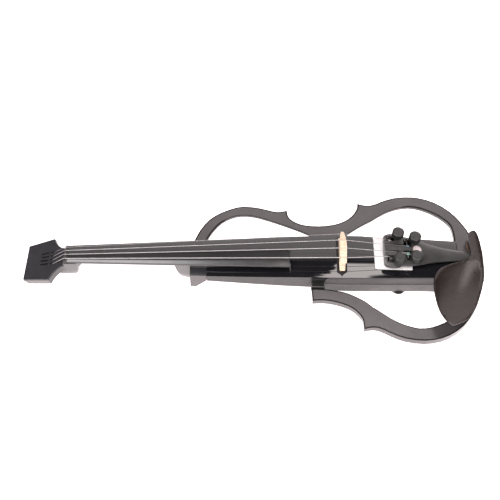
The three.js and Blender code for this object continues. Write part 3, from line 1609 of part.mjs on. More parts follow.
function chinFeet() {
  const { footHalf, footAt, footFront, rimHeight, thickness } = chinrest;
  const low = tailBlock.topHeight + cork.thickness + seat * 2;
  return [-1, 1].map((side) => slab([
    flatPoint(footFront, side * footAt - footHalf),
    flatPoint(clamp.x - clamp.barrelRadius - clearance, side * footAt - footHalf),
    flatPoint(clamp.x - clamp.barrelRadius - clearance, side * footAt + footHalf),
    flatPoint(footFront, side * footAt + footHalf),
  ], low, rimHeight - thickness / 2));
}

function makeCork(side) {
  const { footHalf, footAt, footFront } = chinrest;
  const low = tailBlock.topHeight + seat;
  return box(
    vec(footFront - footHalf / 4, side * footAt - footHalf * 1.1, low),
    vec(clamp.x - clamp.barrelRadius - clearance, side * footAt + footHalf * 1.1, low + cork.thickness),
  );
}

function makeUpperRod(side) {
  const top = chinrest.rimHeight - chinrest.thickness / 2 - clearance;
  const low = clamp.barrelTop - clamp.upperReach;
  return post(clamp.x, side * clamp.at, low, top, clamp.rod, 10);
}

function makeBarrel(side) {
  const { x, at, barrelRadius, barrelTop, barrelLength, keyHole } = clamp;
  const y = side * at;
  const low = barrelTop - barrelLength;
  const blank = post(x, y, low, barrelTop, barrelRadius, 20);
  const hole = post(x, y, low - overrun, barrelTop + overrun, bearing(clamp.rod, 12), 12);
  const key = new THREE.CylinderGeometry(keyHole, keyHole, barrelRadius * 3, 12);
  key.rotateZ(Math.PI / 2).translate(x, y, low + barrelLength / 2);
  return cut(blank, hole, key);
}

function makeClampFoot() {
  const { x, at, plate, plateLength, plateHalf, padThickness, barrelRadius } = clamp;
  const high = -tailBlock.depth - padThickness - seat * 2;
  const flat = box(
    vec(x + barrelRadius - plateLength, -plateHalf, high - plate),
    vec(x + barrelRadius, plateHalf, high),
  );
  const reach = clamp.barrelTop - clamp.lowerReach;
  const rods = [-1, 1].map((side) => post(x, side * at, high - plate / 2, reach, clamp.rod, 10));
  return join(flat, ...rods);
}

function makeFootPad() {
  const { x, plateLength, plateHalf, padThickness, barrelRadius } = clamp;
  const high = -tailBlock.depth - seat;
  return box(
    vec(x + barrelRadius - plateLength + clearance, -plateHalf + clearance, high - padThickness),
    vec(x - tailBlock.notch / 2 - clearance, plateHalf - clearance, high),
  );
}

// Screws that hold the neck and the treble frame, in the underside

const neckScrewX = -block.headEnd + block.floorLength / 2;

function makeNeckScrew(side) {
  const low = clearance - block.depth;
  return post(neckScrewX, (side * neck.rootHalf) / 2, low, low + screw.head, screw.headRadius, 12);
}

function neckScrewRooms() {
  const top = clearance * 2 + screw.head - block.depth;
  return [-1, 1].map((side) => post(
    neckScrewX, (side * neck.rootHalf) / 2, -block.depth - overrun, top, screw.headRadius + clearance, 12));
}

// Finishes

const finishes = {
  glossBlack: [0x0a0a0c, 0.12, 0],
  satinBlack: [0x2c2928, 0.45, 0],
  matteBlack: [0x2b2b2c, 0.6, 0],
  ebony: [0x1b1a1c, 0.3, 0],
  maple: [0xc89a66, 0.55, 0],
  steel: [0xb8bbc0, 0.3, 1],
  brass: [0xb08d4a, 0.35, 1],
  foam: [0xf2efec, 0.9, 0],
  cork: [0x8a5f43, 0.85, 0],
  silkBlue: [0x5aa7c0, 0.6, 0],
  silkGreen: [0x4f8a6a, 0.6, 0],
  silkRed: [0x7a3140, 0.6, 0],
  silkPale: [0xc9c3b4, 0.6, 0],
  board: [0x1f4a34, 0.5, 0],
  cellCase: [0x3a3d42, 0.5, 0],
  paper: [0xefe9e6, 0.8, 0],
  nylon: [0x1c1c1e, 0.5, 0],
};

const violin = new THREE.Group();

function add(name, geometry, finish) {
  const [color, roughness, metalness] = finishes[finish];
  const mesh = new THREE.Mesh(geometry, new THREE.MeshStandardMaterial({ color, roughness, metalness }));
  mesh.name = name;
  violin.add(mesh);
}

add('neck', makeNeck(), 'glossBlack');
add('head_plate', makeHeadPlate(), 'matteBlack');
add('nut', makeNut(), 'ebony');
add('fingerboard', makeFingerboard(), 'ebony');
add('body_core', makeBodyCore(), 'glossBlack');
add('upper_block', cut(makeUpperBlock(), ...neckScrewRooms()), 'satinBlack');
add('neck_screw_treble', makeNeckScrew(1), 'steel');
add('neck_screw_bass', makeNeckScrew(-1), 'steel');
add('treble_frame', makeTrebleFrame(), 'satinBlack');
add('bass_frame', makeBassFrame(), 'satinBlack');
add('frame_bracket', makeBracket(), 'satinBlack');
add('bracket_screw', makeBracketScrew(), 'steel');
add('tail_block', makeTailBlock(), 'glossBlack');
add('saddle', makeSaddle(), 'ebony');
add('end_pin', makeEndPin(), 'ebony');
add('tail_gut', makeTailGut(), 'nylon');
add('bridge_base', makeBridgeBase(), 'matteBlack');
add('pickup_lead', makePickupLead(), 'nylon');
add('bridge', makeBridge(), 'maple');
add('tailpiece', makeTailpiece(), 'satinBlack');
add('foam_pad', makeFoamPad(), 'foam');
add('tuner_dot', makeDot(), 'paper');
const windingFinish = { e: 'silkPale', a: 'silkBlue', d: 'silkGreen', g: 'silkRed' };
stringNames.forEach((name) => {
  add(`string_${name}`, makeString(name), 'steel');
  add(`tuner_knob_${name}`, makeWorm(name), 'matteBlack');
  add(`tuner_drum_${name}`, makeDrum(name), 'steel');
  add(`winding_${name}`, makeWinding(name), windingFinish[name]);
});
add('chinrest', makeChinrest(), 'satinBlack');
const sides = { treble: 1, bass: -1 };
Object.entries(sides).forEach(([name, side]) => {
  add(`chinrest_cork_${name}`, makeCork(side), 'cork');
  add(`clamp_rod_${name}`, makeUpperRod(side), 'steel');
  add(`clamp_barrel_${name}`, makeBarrel(side), 'steel');
});
add('clamp_foot', makeClampFoot(), 'steel');
add('clamp_pad', makeFootPad(), 'cork');
add('back_cover', makeBackCover(), 'satinBlack');
coverScrewPlaces().forEach((place, i) => add(`cover_screw_${i + 1}`, makeCoverScrew(place), 'steel'));
add('battery_door', makeBatteryDoor(), 'satinBlack');
add('battery', makeBattery(), 'cellCase');
add('battery_snap', makeBatterySnap(), 'nylon');
add('circuit_board', makeCircuitBoard(), 'board');
add('volume_wheel', makeVolumeWheel(), 'matteBlack');
add('power_switch', makePowerSwitch(), 'matteBlack');
add('output_jack', makeOutputJack(), 'steel');
add('phones_jack', makePhonesJack(), 'matteBlack');

const bounds = new THREE.Box3().setFromObject(violin);
const centre = bounds.getCenter(new THREE.Vector3());
violin.position.set(-centre.x, -centre.y, -bounds.min.z);

const instrument = new THREE.Group();
instrument.add(violin);

export default instrument;
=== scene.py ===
"""Looks of a skeleton-frame electric violin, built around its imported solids."""

import json
import math

import bpy
from mathutils import Matrix, Vector
from mathutils.kdtree import KDTree


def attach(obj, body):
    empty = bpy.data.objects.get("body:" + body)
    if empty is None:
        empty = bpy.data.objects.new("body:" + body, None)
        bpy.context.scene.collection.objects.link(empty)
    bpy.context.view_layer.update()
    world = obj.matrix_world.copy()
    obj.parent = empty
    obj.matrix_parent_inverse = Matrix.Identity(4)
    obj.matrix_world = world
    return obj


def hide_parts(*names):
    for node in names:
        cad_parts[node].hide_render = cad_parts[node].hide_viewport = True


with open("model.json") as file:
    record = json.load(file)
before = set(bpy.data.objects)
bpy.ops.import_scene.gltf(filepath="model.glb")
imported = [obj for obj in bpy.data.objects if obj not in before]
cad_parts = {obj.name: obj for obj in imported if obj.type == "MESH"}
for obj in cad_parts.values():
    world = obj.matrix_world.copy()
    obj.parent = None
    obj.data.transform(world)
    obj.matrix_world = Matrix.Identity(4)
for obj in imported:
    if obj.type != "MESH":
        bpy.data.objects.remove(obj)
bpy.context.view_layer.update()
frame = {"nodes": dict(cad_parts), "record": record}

MM = 0.001
record = frame["record"]
body_of_node = {
    node: body for body, nodes in record["behaviour"]["bodies"].items() for node in nodes
}


# Materials. Sizes, pitches and depths in them are millimetres.

# Most of a noise's values lie between these two.
NOISE_LOW = 0.3
NOISE_HIGH = 0.7
# Blender's wave texture multiplies its place by this.
WAVE_FACTOR = 20
# Brightness of the dull lines in a metal, as a share of its own colour.
DULL_SHARE = 0.8


def new_material(name):
    """An empty node material with its principled shader and object coordinates."""
    material = bpy.data.materials.new(name)
    material.use_nodes = True
    tree = material.node_tree
    shader = tree.nodes["Principled BSDF"]
    place = tree.nodes.new("ShaderNodeTexCoord").outputs["Object"]
    return material, tree, shader, place


def stretched(tree, place, scale, turn=(0, 0, 0)):
    """Object coordinates with their own scale along each axis."""
    mapping = tree.nodes.new("ShaderNodeMapping")
    mapping.inputs["Scale"].default_value = scale
    mapping.inputs["Rotation"].default_value = turn
    tree.links.new(place, mapping.inputs["Vector"])
    return mapping.outputs["Vector"]


def noise(tree, place, size, detail=3.0, rough=0.5):
    """Cloudy noise whose spots are about size millimetres across."""
    node = tree.nodes.new("ShaderNodeTexNoise")
    node.inputs["Scale"].default_value = 1 / (size * MM)
    node.inputs["Detail"].default_value = detail
    node.inputs["Roughness"].default_value = rough
    tree.links.new(place, node.inputs["Vector"])
    return node.outputs["Fac"]


def cells(tree, place, size):
    """A texture of rounded cells about size millimetres across."""
    node = tree.nodes.new("ShaderNodeTexVoronoi")
    node.inputs["Scale"].default_value = 1 / (size * MM)
    tree.links.new(place, node.inputs["Vector"])
    return node


def bands(tree, place, pitch, direction, distortion=0.0):
    """Stripes that repeat every pitch millimetres along a direction."""
    node = tree.nodes.new("ShaderNodeTexWave")
    node.wave_type = "BANDS"
    node.bands_direction = direction
    node.wave_profile = "SIN"
    node.inputs["Scale"].default_value = 2 * math.pi / (WAVE_FACTOR * pitch * MM)
    node.inputs["Distortion"].default_value = distortion
    node.inputs["Detail"].default_value = 2.0
    tree.links.new(place, node.inputs["Vector"])
    return node.outputs["Fac"]


def ramp(tree, value, stops):
    """Colours between stops, each a place from 0 to 1 and a colour."""
    node = tree.nodes.new("ShaderNodeValToRGB")
    band = node.color_ramp
    while len(band.elements) < len(stops):
        band.elements.new(0.5)
    for element, (at, colour) in zip(band.elements, stops):
        element.position = at
        element.color = (*colour, 1)
    tree.links.new(value, node.inputs["Fac"])
    return node.outputs["Color"]


def spread(tree, value, low, high):
    """A value that goes from low to high over the range of a noise."""
    node = tree.nodes.new("ShaderNodeMapRange")
    node.inputs["From Min"].default_value = NOISE_LOW
    node.inputs["From Max"].default_value = NOISE_HIGH
    node.inputs["To Min"].default_value = low
    node.inputs["To Max"].default_value = high
    tree.links.new(value, node.inputs["Value"])
    return node.outputs["Result"]


def bumped(tree, shader, height, depth, under=None):
    """Relief that is depth millimetres deep, on top of any relief that is under it."""
    node = tree.nodes.new("ShaderNodeBump")
    node.inputs["Strength"].default_value = 1.0
    node.inputs["Distance"].default_value = depth * MM
    tree.links.new(height, node.inputs["Height"])
    if under:
        tree.links.new(under, node.inputs["Normal"])
    tree.links.new(node.outputs["Normal"], shader.inputs["Normal"])
    return node.outputs["Normal"]


def lacquer(
    name, dark, light, rough, coat=0.0, coat_rough=0.1, peel=0.004, grain=(1, 1, 1), level=0.5
):
    """Paint or lacquer: clouded colour, uneven gloss and the fine relief of a sprayed coat."""
    material, tree, shader, place = new_material(name)
    along = stretched(tree, place, grain)
    cloud = noise(tree, along, size=30.0, detail=4.0)
    tint = ramp(tree, cloud, [(NOISE_LOW, dark), (NOISE_HIGH, light)])
    tree.links.new(tint, shader.inputs["Base Color"])
    patches = noise(tree, place, size=9.0, detail=5.0, rough=0.6)
    tree.links.new(spread(tree, patches, *rough), shader.inputs["Roughness"])
    bumped(tree, shader, noise(tree, along, size=1.6, detail=2.0), peel)
    shader.inputs["Coat Weight"].default_value = coat
    shader.inputs["Coat Roughness"].default_value = coat_rough
    shader.inputs["Specular IOR Level"].default_value = level
    return material


def moulded(name, dark, light, rough, texture=0.02, size=0.5, level=0.5):
    """Moulded plastic with a fine spark texture."""
    material, tree, shader, place = new_material(name)
    cloud = noise(tree, place, size=14.0, detail=3.0)
    tint = ramp(tree, cloud, [(0.35, dark), (NOISE_HIGH, light)])
    tree.links.new(tint, shader.inputs["Base Color"])
    patches = noise(tree, place, size=5.0, detail=4.0, rough=0.6)
    tree.links.new(spread(tree, patches, *rough), shader.inputs["Roughness"])
    bumped(tree, shader, noise(tree, place, size, detail=2.0, rough=0.7), texture)
    shader.inputs["Specular IOR Level"].default_value = level
    return material


def metal(name, colour, rough, brush=(1, 1, 1), scratch=0.002):
    """Plated or bare metal with fine brush lines."""
    material, tree, shader, place = new_material(name)
    lines = noise(tree, stretched(tree, place, brush), size=0.7, detail=3.0, rough=0.6)
    dull = tuple(DULL_SHARE * part for part in colour)
    tree.links.new(ramp(tree, lines, [(0.25, dull), (0.6, colour)]), shader.inputs["Base Color"])
    tree.links.new(spread(tree, lines, *rough), shader.inputs["Roughness"])
    bumped(tree, shader, lines, scratch)
    shader.inputs["Metallic"].default_value = 1.0
    return material


def wound(name, dark, light, metallic, rough, pitch, direction, depth):
    """A wrap of wire or silk: close turns across the string."""
    material, tree, shader, place = new_material(name)
    turns = bands(tree, place, pitch, direction)
    tree.links.new(ramp(tree, turns, [(0.1, dark), (0.6, light)]), shader.inputs["Base Color"])
    tree.links.new(spread(tree, turns, *rough), shader.inputs["Roughness"])
    bumped(tree, shader, turns, depth)
    shader.inputs["Metallic"].default_value = metallic
    return material


def maple_wood():
    """Pale bridge maple: fine growth lines with short dark flecks."""
    material, tree, shader, place = new_material("maple")
    growth = bands(
        tree, stretched(tree, place, (1, 0.25, 1)), pitch=1.1, direction="Z", distortion=3.0
    )
    wood = [(0.0, (0.50, 0.37, 0.25)), (0.5, (0.58, 0.46, 0.33)), (1.0, (0.63, 0.52, 0.39))]
    flecks = noise(tree, stretched(tree, place, (1, 0.3, 2.4)), size=0.55, detail=2.0, rough=0.7)
    marks = [(0.30, (0.55, 0.38, 0.22)), (0.42, (1, 1, 1))]
    mix = tree.nodes.new("ShaderNodeMix")
    mix.data_type = "RGBA"
    mix.blend_type = "MULTIPLY"
    mix.inputs["Factor"].default_value = 0.55
    tree.links.new(ramp(tree, growth, wood), mix.inputs["A"])
    tree.links.new(ramp(tree, flecks, marks), mix.inputs["B"])
    tree.links.new(mix.outputs["Result"], shader.inputs["Base Color"])
    tree.links.new(spread(tree, growth, 0.42, 0.6), shader.inputs["Roughness"])
    bumped(tree, shader, growth, depth=0.02)
    return material


def foam_stuff():
    """White closed-cell foam with small open pores."""
    material, tree, shader, place = new_material("foam")
    pores = cells(tree, place, size=0.9).outputs["Distance"]
    tint = ramp(tree, pores, [(0.0, (0.40, 0.39, 0.39)), (0.4, (0.62, 0.61, 0.61))])
    tree.links.new(tint, shader.inputs["Base Color"])
    under = bumped(tree, shader, pores, depth=0.25)
    bumped(tree, shader, noise(tree, place, size=2.5, detail=3.0), 0.3, under)
    shader.inputs["Roughness"].default_value = 0.9
    shader.inputs["Sheen Weight"].default_value = 0.2
    return material


def shaded_cork_stuff():
    """Cork: brown crumbs pressed together, made darker as painted shade for its place under the chin
    rest.
    """
    material, tree, shader, place = new_material("cork")
    crumbs = cells(tree, place, size=1.3)
    browns = [(0.2, (0.035, 0.022, 0.015)), (0.8, (0.11, 0.065, 0.045))]
    tree.links.new(ramp(tree, crumbs.outputs["Color"], browns), shader.inputs["Base Color"])
    bumped(tree, shader, crumbs.outputs["Distance"], depth=0.15)
    shader.inputs["Roughness"].default_value = 0.85
    return material


def chin_wood():
    """Dark brown-black chin rest wood with a soft sheen and drawn-out pores."""
    material, tree, shader, place = new_material("chin_wood")
    grain_turn = (0, 0, 0.5)
    cloud = noise(
        tree, stretched(tree, place, (0.3, 1, 1), grain_turn), size=12.0, detail=5.0, rough=0.6
    )
    browns = [(NOISE_LOW, (0.009, 0.006, 0.0055)), (NOISE_HIGH, (0.018, 0.012, 0.0105))]
    tree.links.new(ramp(tree, cloud, browns), shader.inputs["Base Color"])
    pores = noise(
        tree, stretched(tree, place, (0.12, 1, 1), grain_turn), size=0.5, detail=2.0, rough=0.7
    )
    tree.links.new(spread(tree, pores, 0.26, 0.31), shader.inputs["Roughness"])
    shader.inputs["Specular IOR Level"].default_value = 0.46
    bumped(tree, shader, pores, depth=0.0006)
    return material


FRAME = lacquer(
    "frame_lacquer", dark=(0.036, 0.033, 0.033), light=(0.050, 0.045, 0.046), rough=(0.18, 0.27),
    coat=0.25, coat_rough=0.2,
)
# Painted shade: a darker, duller copy of the frame lacquer for the dark lines along the frames'
# edges.
ARRIS_SHADE = lacquer(
    "frame_arris_shade", dark=(0.006, 0.005, 0.005), light=(0.010, 0.009, 0.009), rough=(0.30, 0.40),
    level=0.12,
)
NECK = lacquer(
    "neck_lacquer", dark=(0.036, 0.034, 0.036), light=(0.046, 0.044, 0.046), rough=(0.24, 0.34),
    coat=0.5, coat_rough=0.2,
)
HEAD = lacquer(
    "head_facing", dark=(0.012, 0.012, 0.014), light=(0.018, 0.018, 0.021), rough=(0.36, 0.46),
    level=0.35,
)
BODY = lacquer(
    "body_gloss", dark=(0.004, 0.004, 0.005), light=(0.006, 0.006, 0.007), rough=(0.03, 0.06),
    coat=1.0, coat_rough=0.03, peel=0.0008, level=0.2,
)
WALL = lacquer(
    "body_satin", dark=(0.018, 0.017, 0.018), light=(0.026, 0.024, 0.025), rough=(0.34, 0.44),
    level=0.35,
)
BOARD = lacquer(
    "fingerboard_black", dark=(0.014, 0.014, 0.015), light=(0.022, 0.021, 0.022),
    rough=(0.11, 0.18), peel=0.002, grain=(0.2, 1, 1),
)
EBONY = lacquer(
    "ebony", dark=(0.014, 0.013, 0.013), light=(0.03, 0.027, 0.026), rough=(0.25, 0.35),
    peel=0.006, grain=(0.2, 1, 1),
)
# Black bracket paint, made darker and duller than the other blacks as painted shade for the recess
# beside the body.
BRACKET_PAINT_AND_SHADE = lacquer(
    "bracket_paint_and_shade", dark=(0.006, 0.006, 0.006), light=(0.010, 0.010, 0.010), rough=(0.32, 0.42),
    level=0.3,
)
COVER = moulded(
    "cover_plastic", dark=(0.020, 0.018, 0.019), light=(0.029, 0.027, 0.028), rough=(0.30, 0.42),
    texture=0.012, level=0.38,
)
# Painted highlight: a lighter copy of the black plastic for the bright lines on the bracket's ledge
# and under the cover's ridge.
PAINTED_HIGHLIGHT = moulded(
    "painted_highlight_edge", dark=(0.07, 0.065, 0.065), light=(0.10, 0.095, 0.095), rough=(0.26, 0.36),
    texture=0.006,
)
TAIL = moulded(
    "tail_plastic", dark=(0.027, 0.026, 0.026), light=(0.038, 0.036, 0.036), rough=(0.30, 0.42),
    texture=0.010, size=0.4, level=0.32,
)
KNOB = moulded(
    "knob_black", dark=(0.012, 0.012, 0.012), light=(0.020, 0.019, 0.019), rough=(0.32, 0.42),
    size=0.35, level=0.45,
)
# Painted shade: a darker, duller copy of the knob plastic for the knobs' walls.
KNOB_SIDE_SHADE = moulded(
    "knob_side_shade", dark=(0.007, 0.007, 0.007), light=(0.012, 0.011, 0.011), rough=(0.42, 0.52),
    size=0.35, level=0.22,
)
# Soft black rubber; also used as painted shade on the tail block's front, where the slot is dark.
RUBBER_AND_SLOT_SHADE = moulded(
    "soft_black", dark=(0.008, 0.008, 0.008), light=(0.014, 0.014, 0.014), rough=(0.5, 0.65),
    size=0.6, level=0.25,
)
PALE = moulded(
    "dot_white", dark=(0.36, 0.31, 0.30), light=(0.62, 0.57, 0.56), rough=(0.22, 0.32),
    texture=0.004, size=1.2,
)
BATTERY = moulded(
    "battery_case", dark=(0.055, 0.055, 0.06), light=(0.085, 0.085, 0.09), rough=(0.3, 0.45),
    texture=0.01,
)
CIRCUIT = moulded(
    "circuit_green", dark=(0.015, 0.09, 0.04), light=(0.03, 0.16, 0.07), rough=(0.3, 0.4),
    size=1.2,
)
CHIN = chin_wood()
MAPLE = maple_wood()
FOAM = foam_stuff()
SHADED_CORK = shaded_cork_stuff()
# Drum metal, made darker than bare steel as painted shade for the drums down in their dark pockets.
DRUM_IN_SHADE = metal(
    "drum_metal_in_shade", colour=(0.12, 0.115, 0.11), rough=(0.16, 0.26), brush=(1, 1, 0.2), scratch=0.001
)
DARK_STEEL = metal("black_screw", colour=(0.16, 0.16, 0.165), rough=(0.28, 0.4))
CHROME = metal(
    "chrome_plate", colour=(0.56, 0.56, 0.57), rough=(0.08, 0.16), brush=(1, 1, 0.2),
    scratch=0.0005,
)
PLAIN = metal(
    "plain_string", colour=(0.40, 0.39, 0.38), rough=(0.34, 0.42), brush=(0.2, 1, 1),
    scratch=0.0005,
)
STRING = wound(
    "wound_string", dark=(0.26, 0.25, 0.25), light=(0.44, 0.43, 0.43), metallic=1.0,
    rough=(0.28, 0.36), pitch=0.35, direction="X", depth=0.006,
)
# The light colours of the a and d wraps are their blue and green silk made lighter, a painted
# highlight for the glints on them.
SILK = {
    "e": wound(
        "wrap_e", dark=(0.20, 0.18, 0.16), light=(0.42, 0.40, 0.37), metallic=0.6,
        rough=(0.3, 0.4), pitch=0.5, direction="Y", depth=0.06,
    ),
    "a": wound(
        "wrap_a", dark=(0.05, 0.18, 0.30), light=(0.32, 0.58, 0.70), metallic=0.0,
        rough=(0.2, 0.3), pitch=0.7, direction="Y", depth=0.05,
    ),
    "d": wound(
        "wrap_d", dark=(0.08, 0.20, 0.16), light=(0.40, 0.56, 0.50), metallic=0.0,
        rough=(0.2, 0.3), pitch=0.7, direction="Y", depth=0.05,
    ),
    "g": wound(
        "wrap_g", dark=(0.03, 0.03, 0.03), light=(0.10, 0.09, 0.09), metallic=0.5,
        rough=(0.3, 0.4), pitch=0.8, direction="Y", depth=0.05,
    ),
}


# Pieces. Their sizes are millimetres too. A face's rise is the height of its normal: 1 on a
# level top, 0 on an upright wall and -1 underneath.

FLAT_WITHIN = math.radians(0.4)
SHARP_FROM = math.radians(32)


def only(piece):
    """Makes one object the selected and active one."""
    bpy.ops.object.select_all(action="DESELECT")
    piece.select_set(True)
    bpy.context.view_layer.objects.active = piece


def applied(piece, kind, **settings):
    """Adds a modifier with its settings and applies it."""
    only(piece)
    modifier = piece.modifiers.new(kind.lower(), kind)
    for name, value in settings.items():
        setattr(modifier, name, value)
    bpy.ops.object.modifier_apply(modifier=modifier.name)


def painted(piece, *materials):
    """Gives a piece just these materials."""
    piece.data.materials.clear()
    for material in materials:
        piece.data.materials.append(material)


def standing_for(piece, node):
    """Lets a piece stand for a node and move with it."""
    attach(piece, body_of_node[node])
    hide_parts(node)


def finished(piece, node, material):
    """Gives a piece its material and its node."""
    painted(piece, material)
    standing_for(piece, node)
    return piece


def merged_copy(node, near=0.003):
    """The solid's mesh as its own piece, with near points joined up and flat faces made whole."""
    mesh = frame["nodes"][node].data.copy()
    piece = bpy.data.objects.new(node + "_piece", mesh)
    bpy.context.scene.collection.objects.link(piece)
    only(piece)
    bpy.ops.mesh.customdata_custom_splitnormals_clear()
    bpy.ops.object.mode_set(mode="EDIT")
    bpy.ops.mesh.select_all(action="SELECT")
    bpy.ops.mesh.remove_doubles(threshold=near * MM)
    bpy.ops.mesh.dissolve_limited(angle_limit=FLAT_WITHIN)
    bpy.ops.object.mode_set(mode="OBJECT")
    return piece


def softened(piece, edge, rings=2, smooth=40):
    """Rounds a piece's sharp edges by edge millimetres, with smooth faces between them."""
    if edge:
        applied(
            piece, "BEVEL", width=edge * MM, segments=rings, limit_method="ANGLE",
            angle_limit=SHARP_FROM, use_clamp_overlap=True,
        )
    only(piece)
    bpy.ops.object.shade_smooth_by_angle(angle=math.radians(smooth))
    applied(piece, "WEIGHTED_NORMAL", keep_sharp=True)


def rounded(node, material, edge, rings=2, smooth=40):
    """A solid as a softened piece with its own material."""
    piece = merged_copy(node)
    softened(piece, edge, rings, smooth)
    return finished(piece, node, material)


def second_look(piece, material, chosen):
    """Gives the chosen faces of a piece a second material."""
    piece.data.materials.append(material)
    for face in piece.data.polygons:
        face.material_index = 1 if chosen(face) else 0


def selected_parts(piece, faces=(), edges=()):
    """Goes into edit mode with just these faces or edges selected, by index."""
    mesh = piece.data
    for parts, chosen in ((mesh.vertices, ()), (mesh.edges, edges), (mesh.polygons, faces)):
        parts.foreach_set("select", [part.index in chosen for part in parts])
    only(piece)
    bpy.ops.object.mode_set(mode="EDIT")
    bpy.ops.mesh.select_mode(type="FACE" if faces else "EDGE")


def finer(piece, cuts):
    """Goes into edit mode with all faces of a piece cut into small triangles."""
    only(piece)
    bpy.ops.object.mode_set(mode="EDIT")
    bpy.ops.mesh.select_all(action="SELECT")
    bpy.ops.mesh.quads_convert_to_tris()
    bpy.ops.mesh.subdivide(number_cuts=cuts)


def tall(mesh, face, least):
    """Whether a face is more than least millimetres high."""
    heights = [mesh.vertices[corner].co.z for corner in face.vertices]
    return max(heights) - min(heights) > least * MM


# The look of each rounded piece, and the width of its rounded edges.
ROUNDED = {
    "neck": (NECK, 0.6),
    "head_plate": (HEAD, 0.3),
    "nut": (EBONY, 0.3),
    "fingerboard": (BOARD, 0.4),
    "body_core": (BODY, 0.4),
    "upper_block": (HEAD, 0.5),
    "tail_block": (FRAME, 0.5),
    "frame_bracket": (BRACKET_PAINT_AND_SHADE, 0.5),
    "saddle": (EBONY, 0.3),
    "end_pin": (EBONY, 0.2),
    "bridge": (MAPLE, 0.3),
    "bridge_base": (RUBBER_AND_SLOT_SHADE, 0.3),
    "tailpiece": (TAIL, 0.4),
    "battery_door": (COVER, 0.3),
    "volume_wheel": (RUBBER_AND_SLOT_SHADE, 0.2),
    "battery": (BATTERY, 0.5),
    "clamp_foot": (CHROME, 0.3),
    "output_jack": (CHROME, 0.15),
    "phones_jack": (CHROME, 0.15),
}

BLOCK_WALL_RISE = 0.6
BODY_WALL_RISE = 0.4
LEDGE_RISE = 0.3
LEDGE_LOW = 31.1
LEDGE_HIGH = 33
TAIL_FRONT_END = 247
TAIL_FRONT_TOP = 41
KNOB_TOP_RISE = 0.35


def on_ledge(face):
    """Whether a face of the bracket is on its ledge, which gets a painted highlight line."""
    return face.normal.z > LEDGE_RISE and LEDGE_LOW * MM < face.center.z < LEDGE_HIGH * MM


def on_shaded_tail_front(face):
    """Whether a face of the tail block is on its front, under the tailpiece, which gets painted
    shade for the dark slot.
    """
    return face.center.x < TAIL_FRONT_END * MM and face.center.z < TAIL_FRONT_TOP * MM


# A second look, and the faces that have it.
SECOND_LOOKS = {
    "upper_block": (FRAME, lambda face: abs(face.normal.z) < BLOCK_WALL_RISE),
    "body_core": (WALL, lambda face: abs(face.normal.z) < BODY_WALL_RISE),
    # Painted highlight on the bracket's ledge.
    "frame_bracket": (PAINTED_HIGHLIGHT, on_ledge),
    # Painted shade: the tail block's front at the slot gets the soft black.
    "tail_block": (RUBBER_AND_SLOT_SHADE, on_shaded_tail_front),
}
for node_name, (look, edge_width) in ROUNDED.items():
    dressed = rounded(node_name, look, edge_width)
    if node_name in SECOND_LOOKS:
        second_look(dressed, *SECOND_LOOKS[node_name])
for letter in "eadg":
    knob = rounded("tuner_knob_" + letter, KNOB, edge=0.7, rings=3)
    # Painted shade on the walls of each knob; the tops keep the knob plastic.
    second_look(knob, KNOB_SIDE_SHADE, lambda face: face.normal.z < KNOB_TOP_RISE)
    rounded("tuner_drum_" + letter, DRUM_IN_SHADE, edge=0)
    rounded("winding_" + letter, SILK[letter], edge=0.2, rings=1)
    rounded("string_" + letter, PLAIN if letter == "e" else STRING, edge=0, smooth=60)


# Side frames

FRAME_TOP_RISE = 0.9
FRAME_LEVEL_RISE = 0.99
FRAME_WALL_RISE = 0.5
FRAME_WALL_HEIGHT = 4
ARRIS_RISE = 0.06


def side_frame(node, arris, edge, shade_outline):
    """A side frame: a wide round over its deep outer wall, a finer one elsewhere, and a dark band of
    painted shade along the edges of its tops.
    """
    piece = merged_copy(node)
    mesh = piece.data
    deep = set()
    upper = set()
    for face in mesh.polygons:
        if face.normal.z > FRAME_TOP_RISE:
            upper.update(face.edge_keys)
        elif abs(face.normal.z) < FRAME_WALL_RISE and tall(mesh, face, FRAME_WALL_HEIGHT):
            deep.update(face.edge_keys)
    selected_parts(piece, edges={line.index for line in mesh.edges if line.key in deep & upper})
    bpy.ops.mesh.bevel(offset=arris * MM, segments=4, affect="EDGES", clamp_overlap=True)
    bpy.ops.object.mode_set(mode="OBJECT")
    level = {face.index for face in mesh.polygons if face.normal.z > FRAME_LEVEL_RISE}
    selected_parts(piece, faces=level)
    bpy.ops.mesh.inset(thickness=shade_outline * MM)
    bpy.ops.object.mode_set(mode="OBJECT")
    middle = {face.index for face in mesh.polygons if face.select}
    # Painted shade: the ring left by the inset and the rounded edges of the tops get the dark copy;
    # the middle of each top and the walls keep the lacquer.
    painted(piece, FRAME, ARRIS_SHADE)
    for face in mesh.polygons:
        plain = face.index in middle or face.normal.z < ARRIS_RISE
        face.material_index = 0 if plain else 1
    softened(piece, edge)
    standing_for(piece, node)


for side in ("treble", "bass"):
    side_frame(side + "_frame", arris=1.3, edge=0.6, shade_outline=1.0)


# Back cover

SIDEWAYS = 0.85
WALL_HALF_WIDTH = 15
RIDGE_HALF_WIDTH = 22
AT_LEVEL = 0.02


def outer_wall(mesh):
    """The faces of the cover's two long walls."""
    return {
        face.index for face in mesh.polygons
        if abs(face.normal.y) > SIDEWAYS
        and abs(face.center.y) > WALL_HALF_WIDTH * MM
        and face.center.y * face.normal.y > 0
    }


def at_level(point, level):
    """Whether a point is at a height in millimetres."""
    return abs(point.z - level * MM) < AT_LEVEL * MM


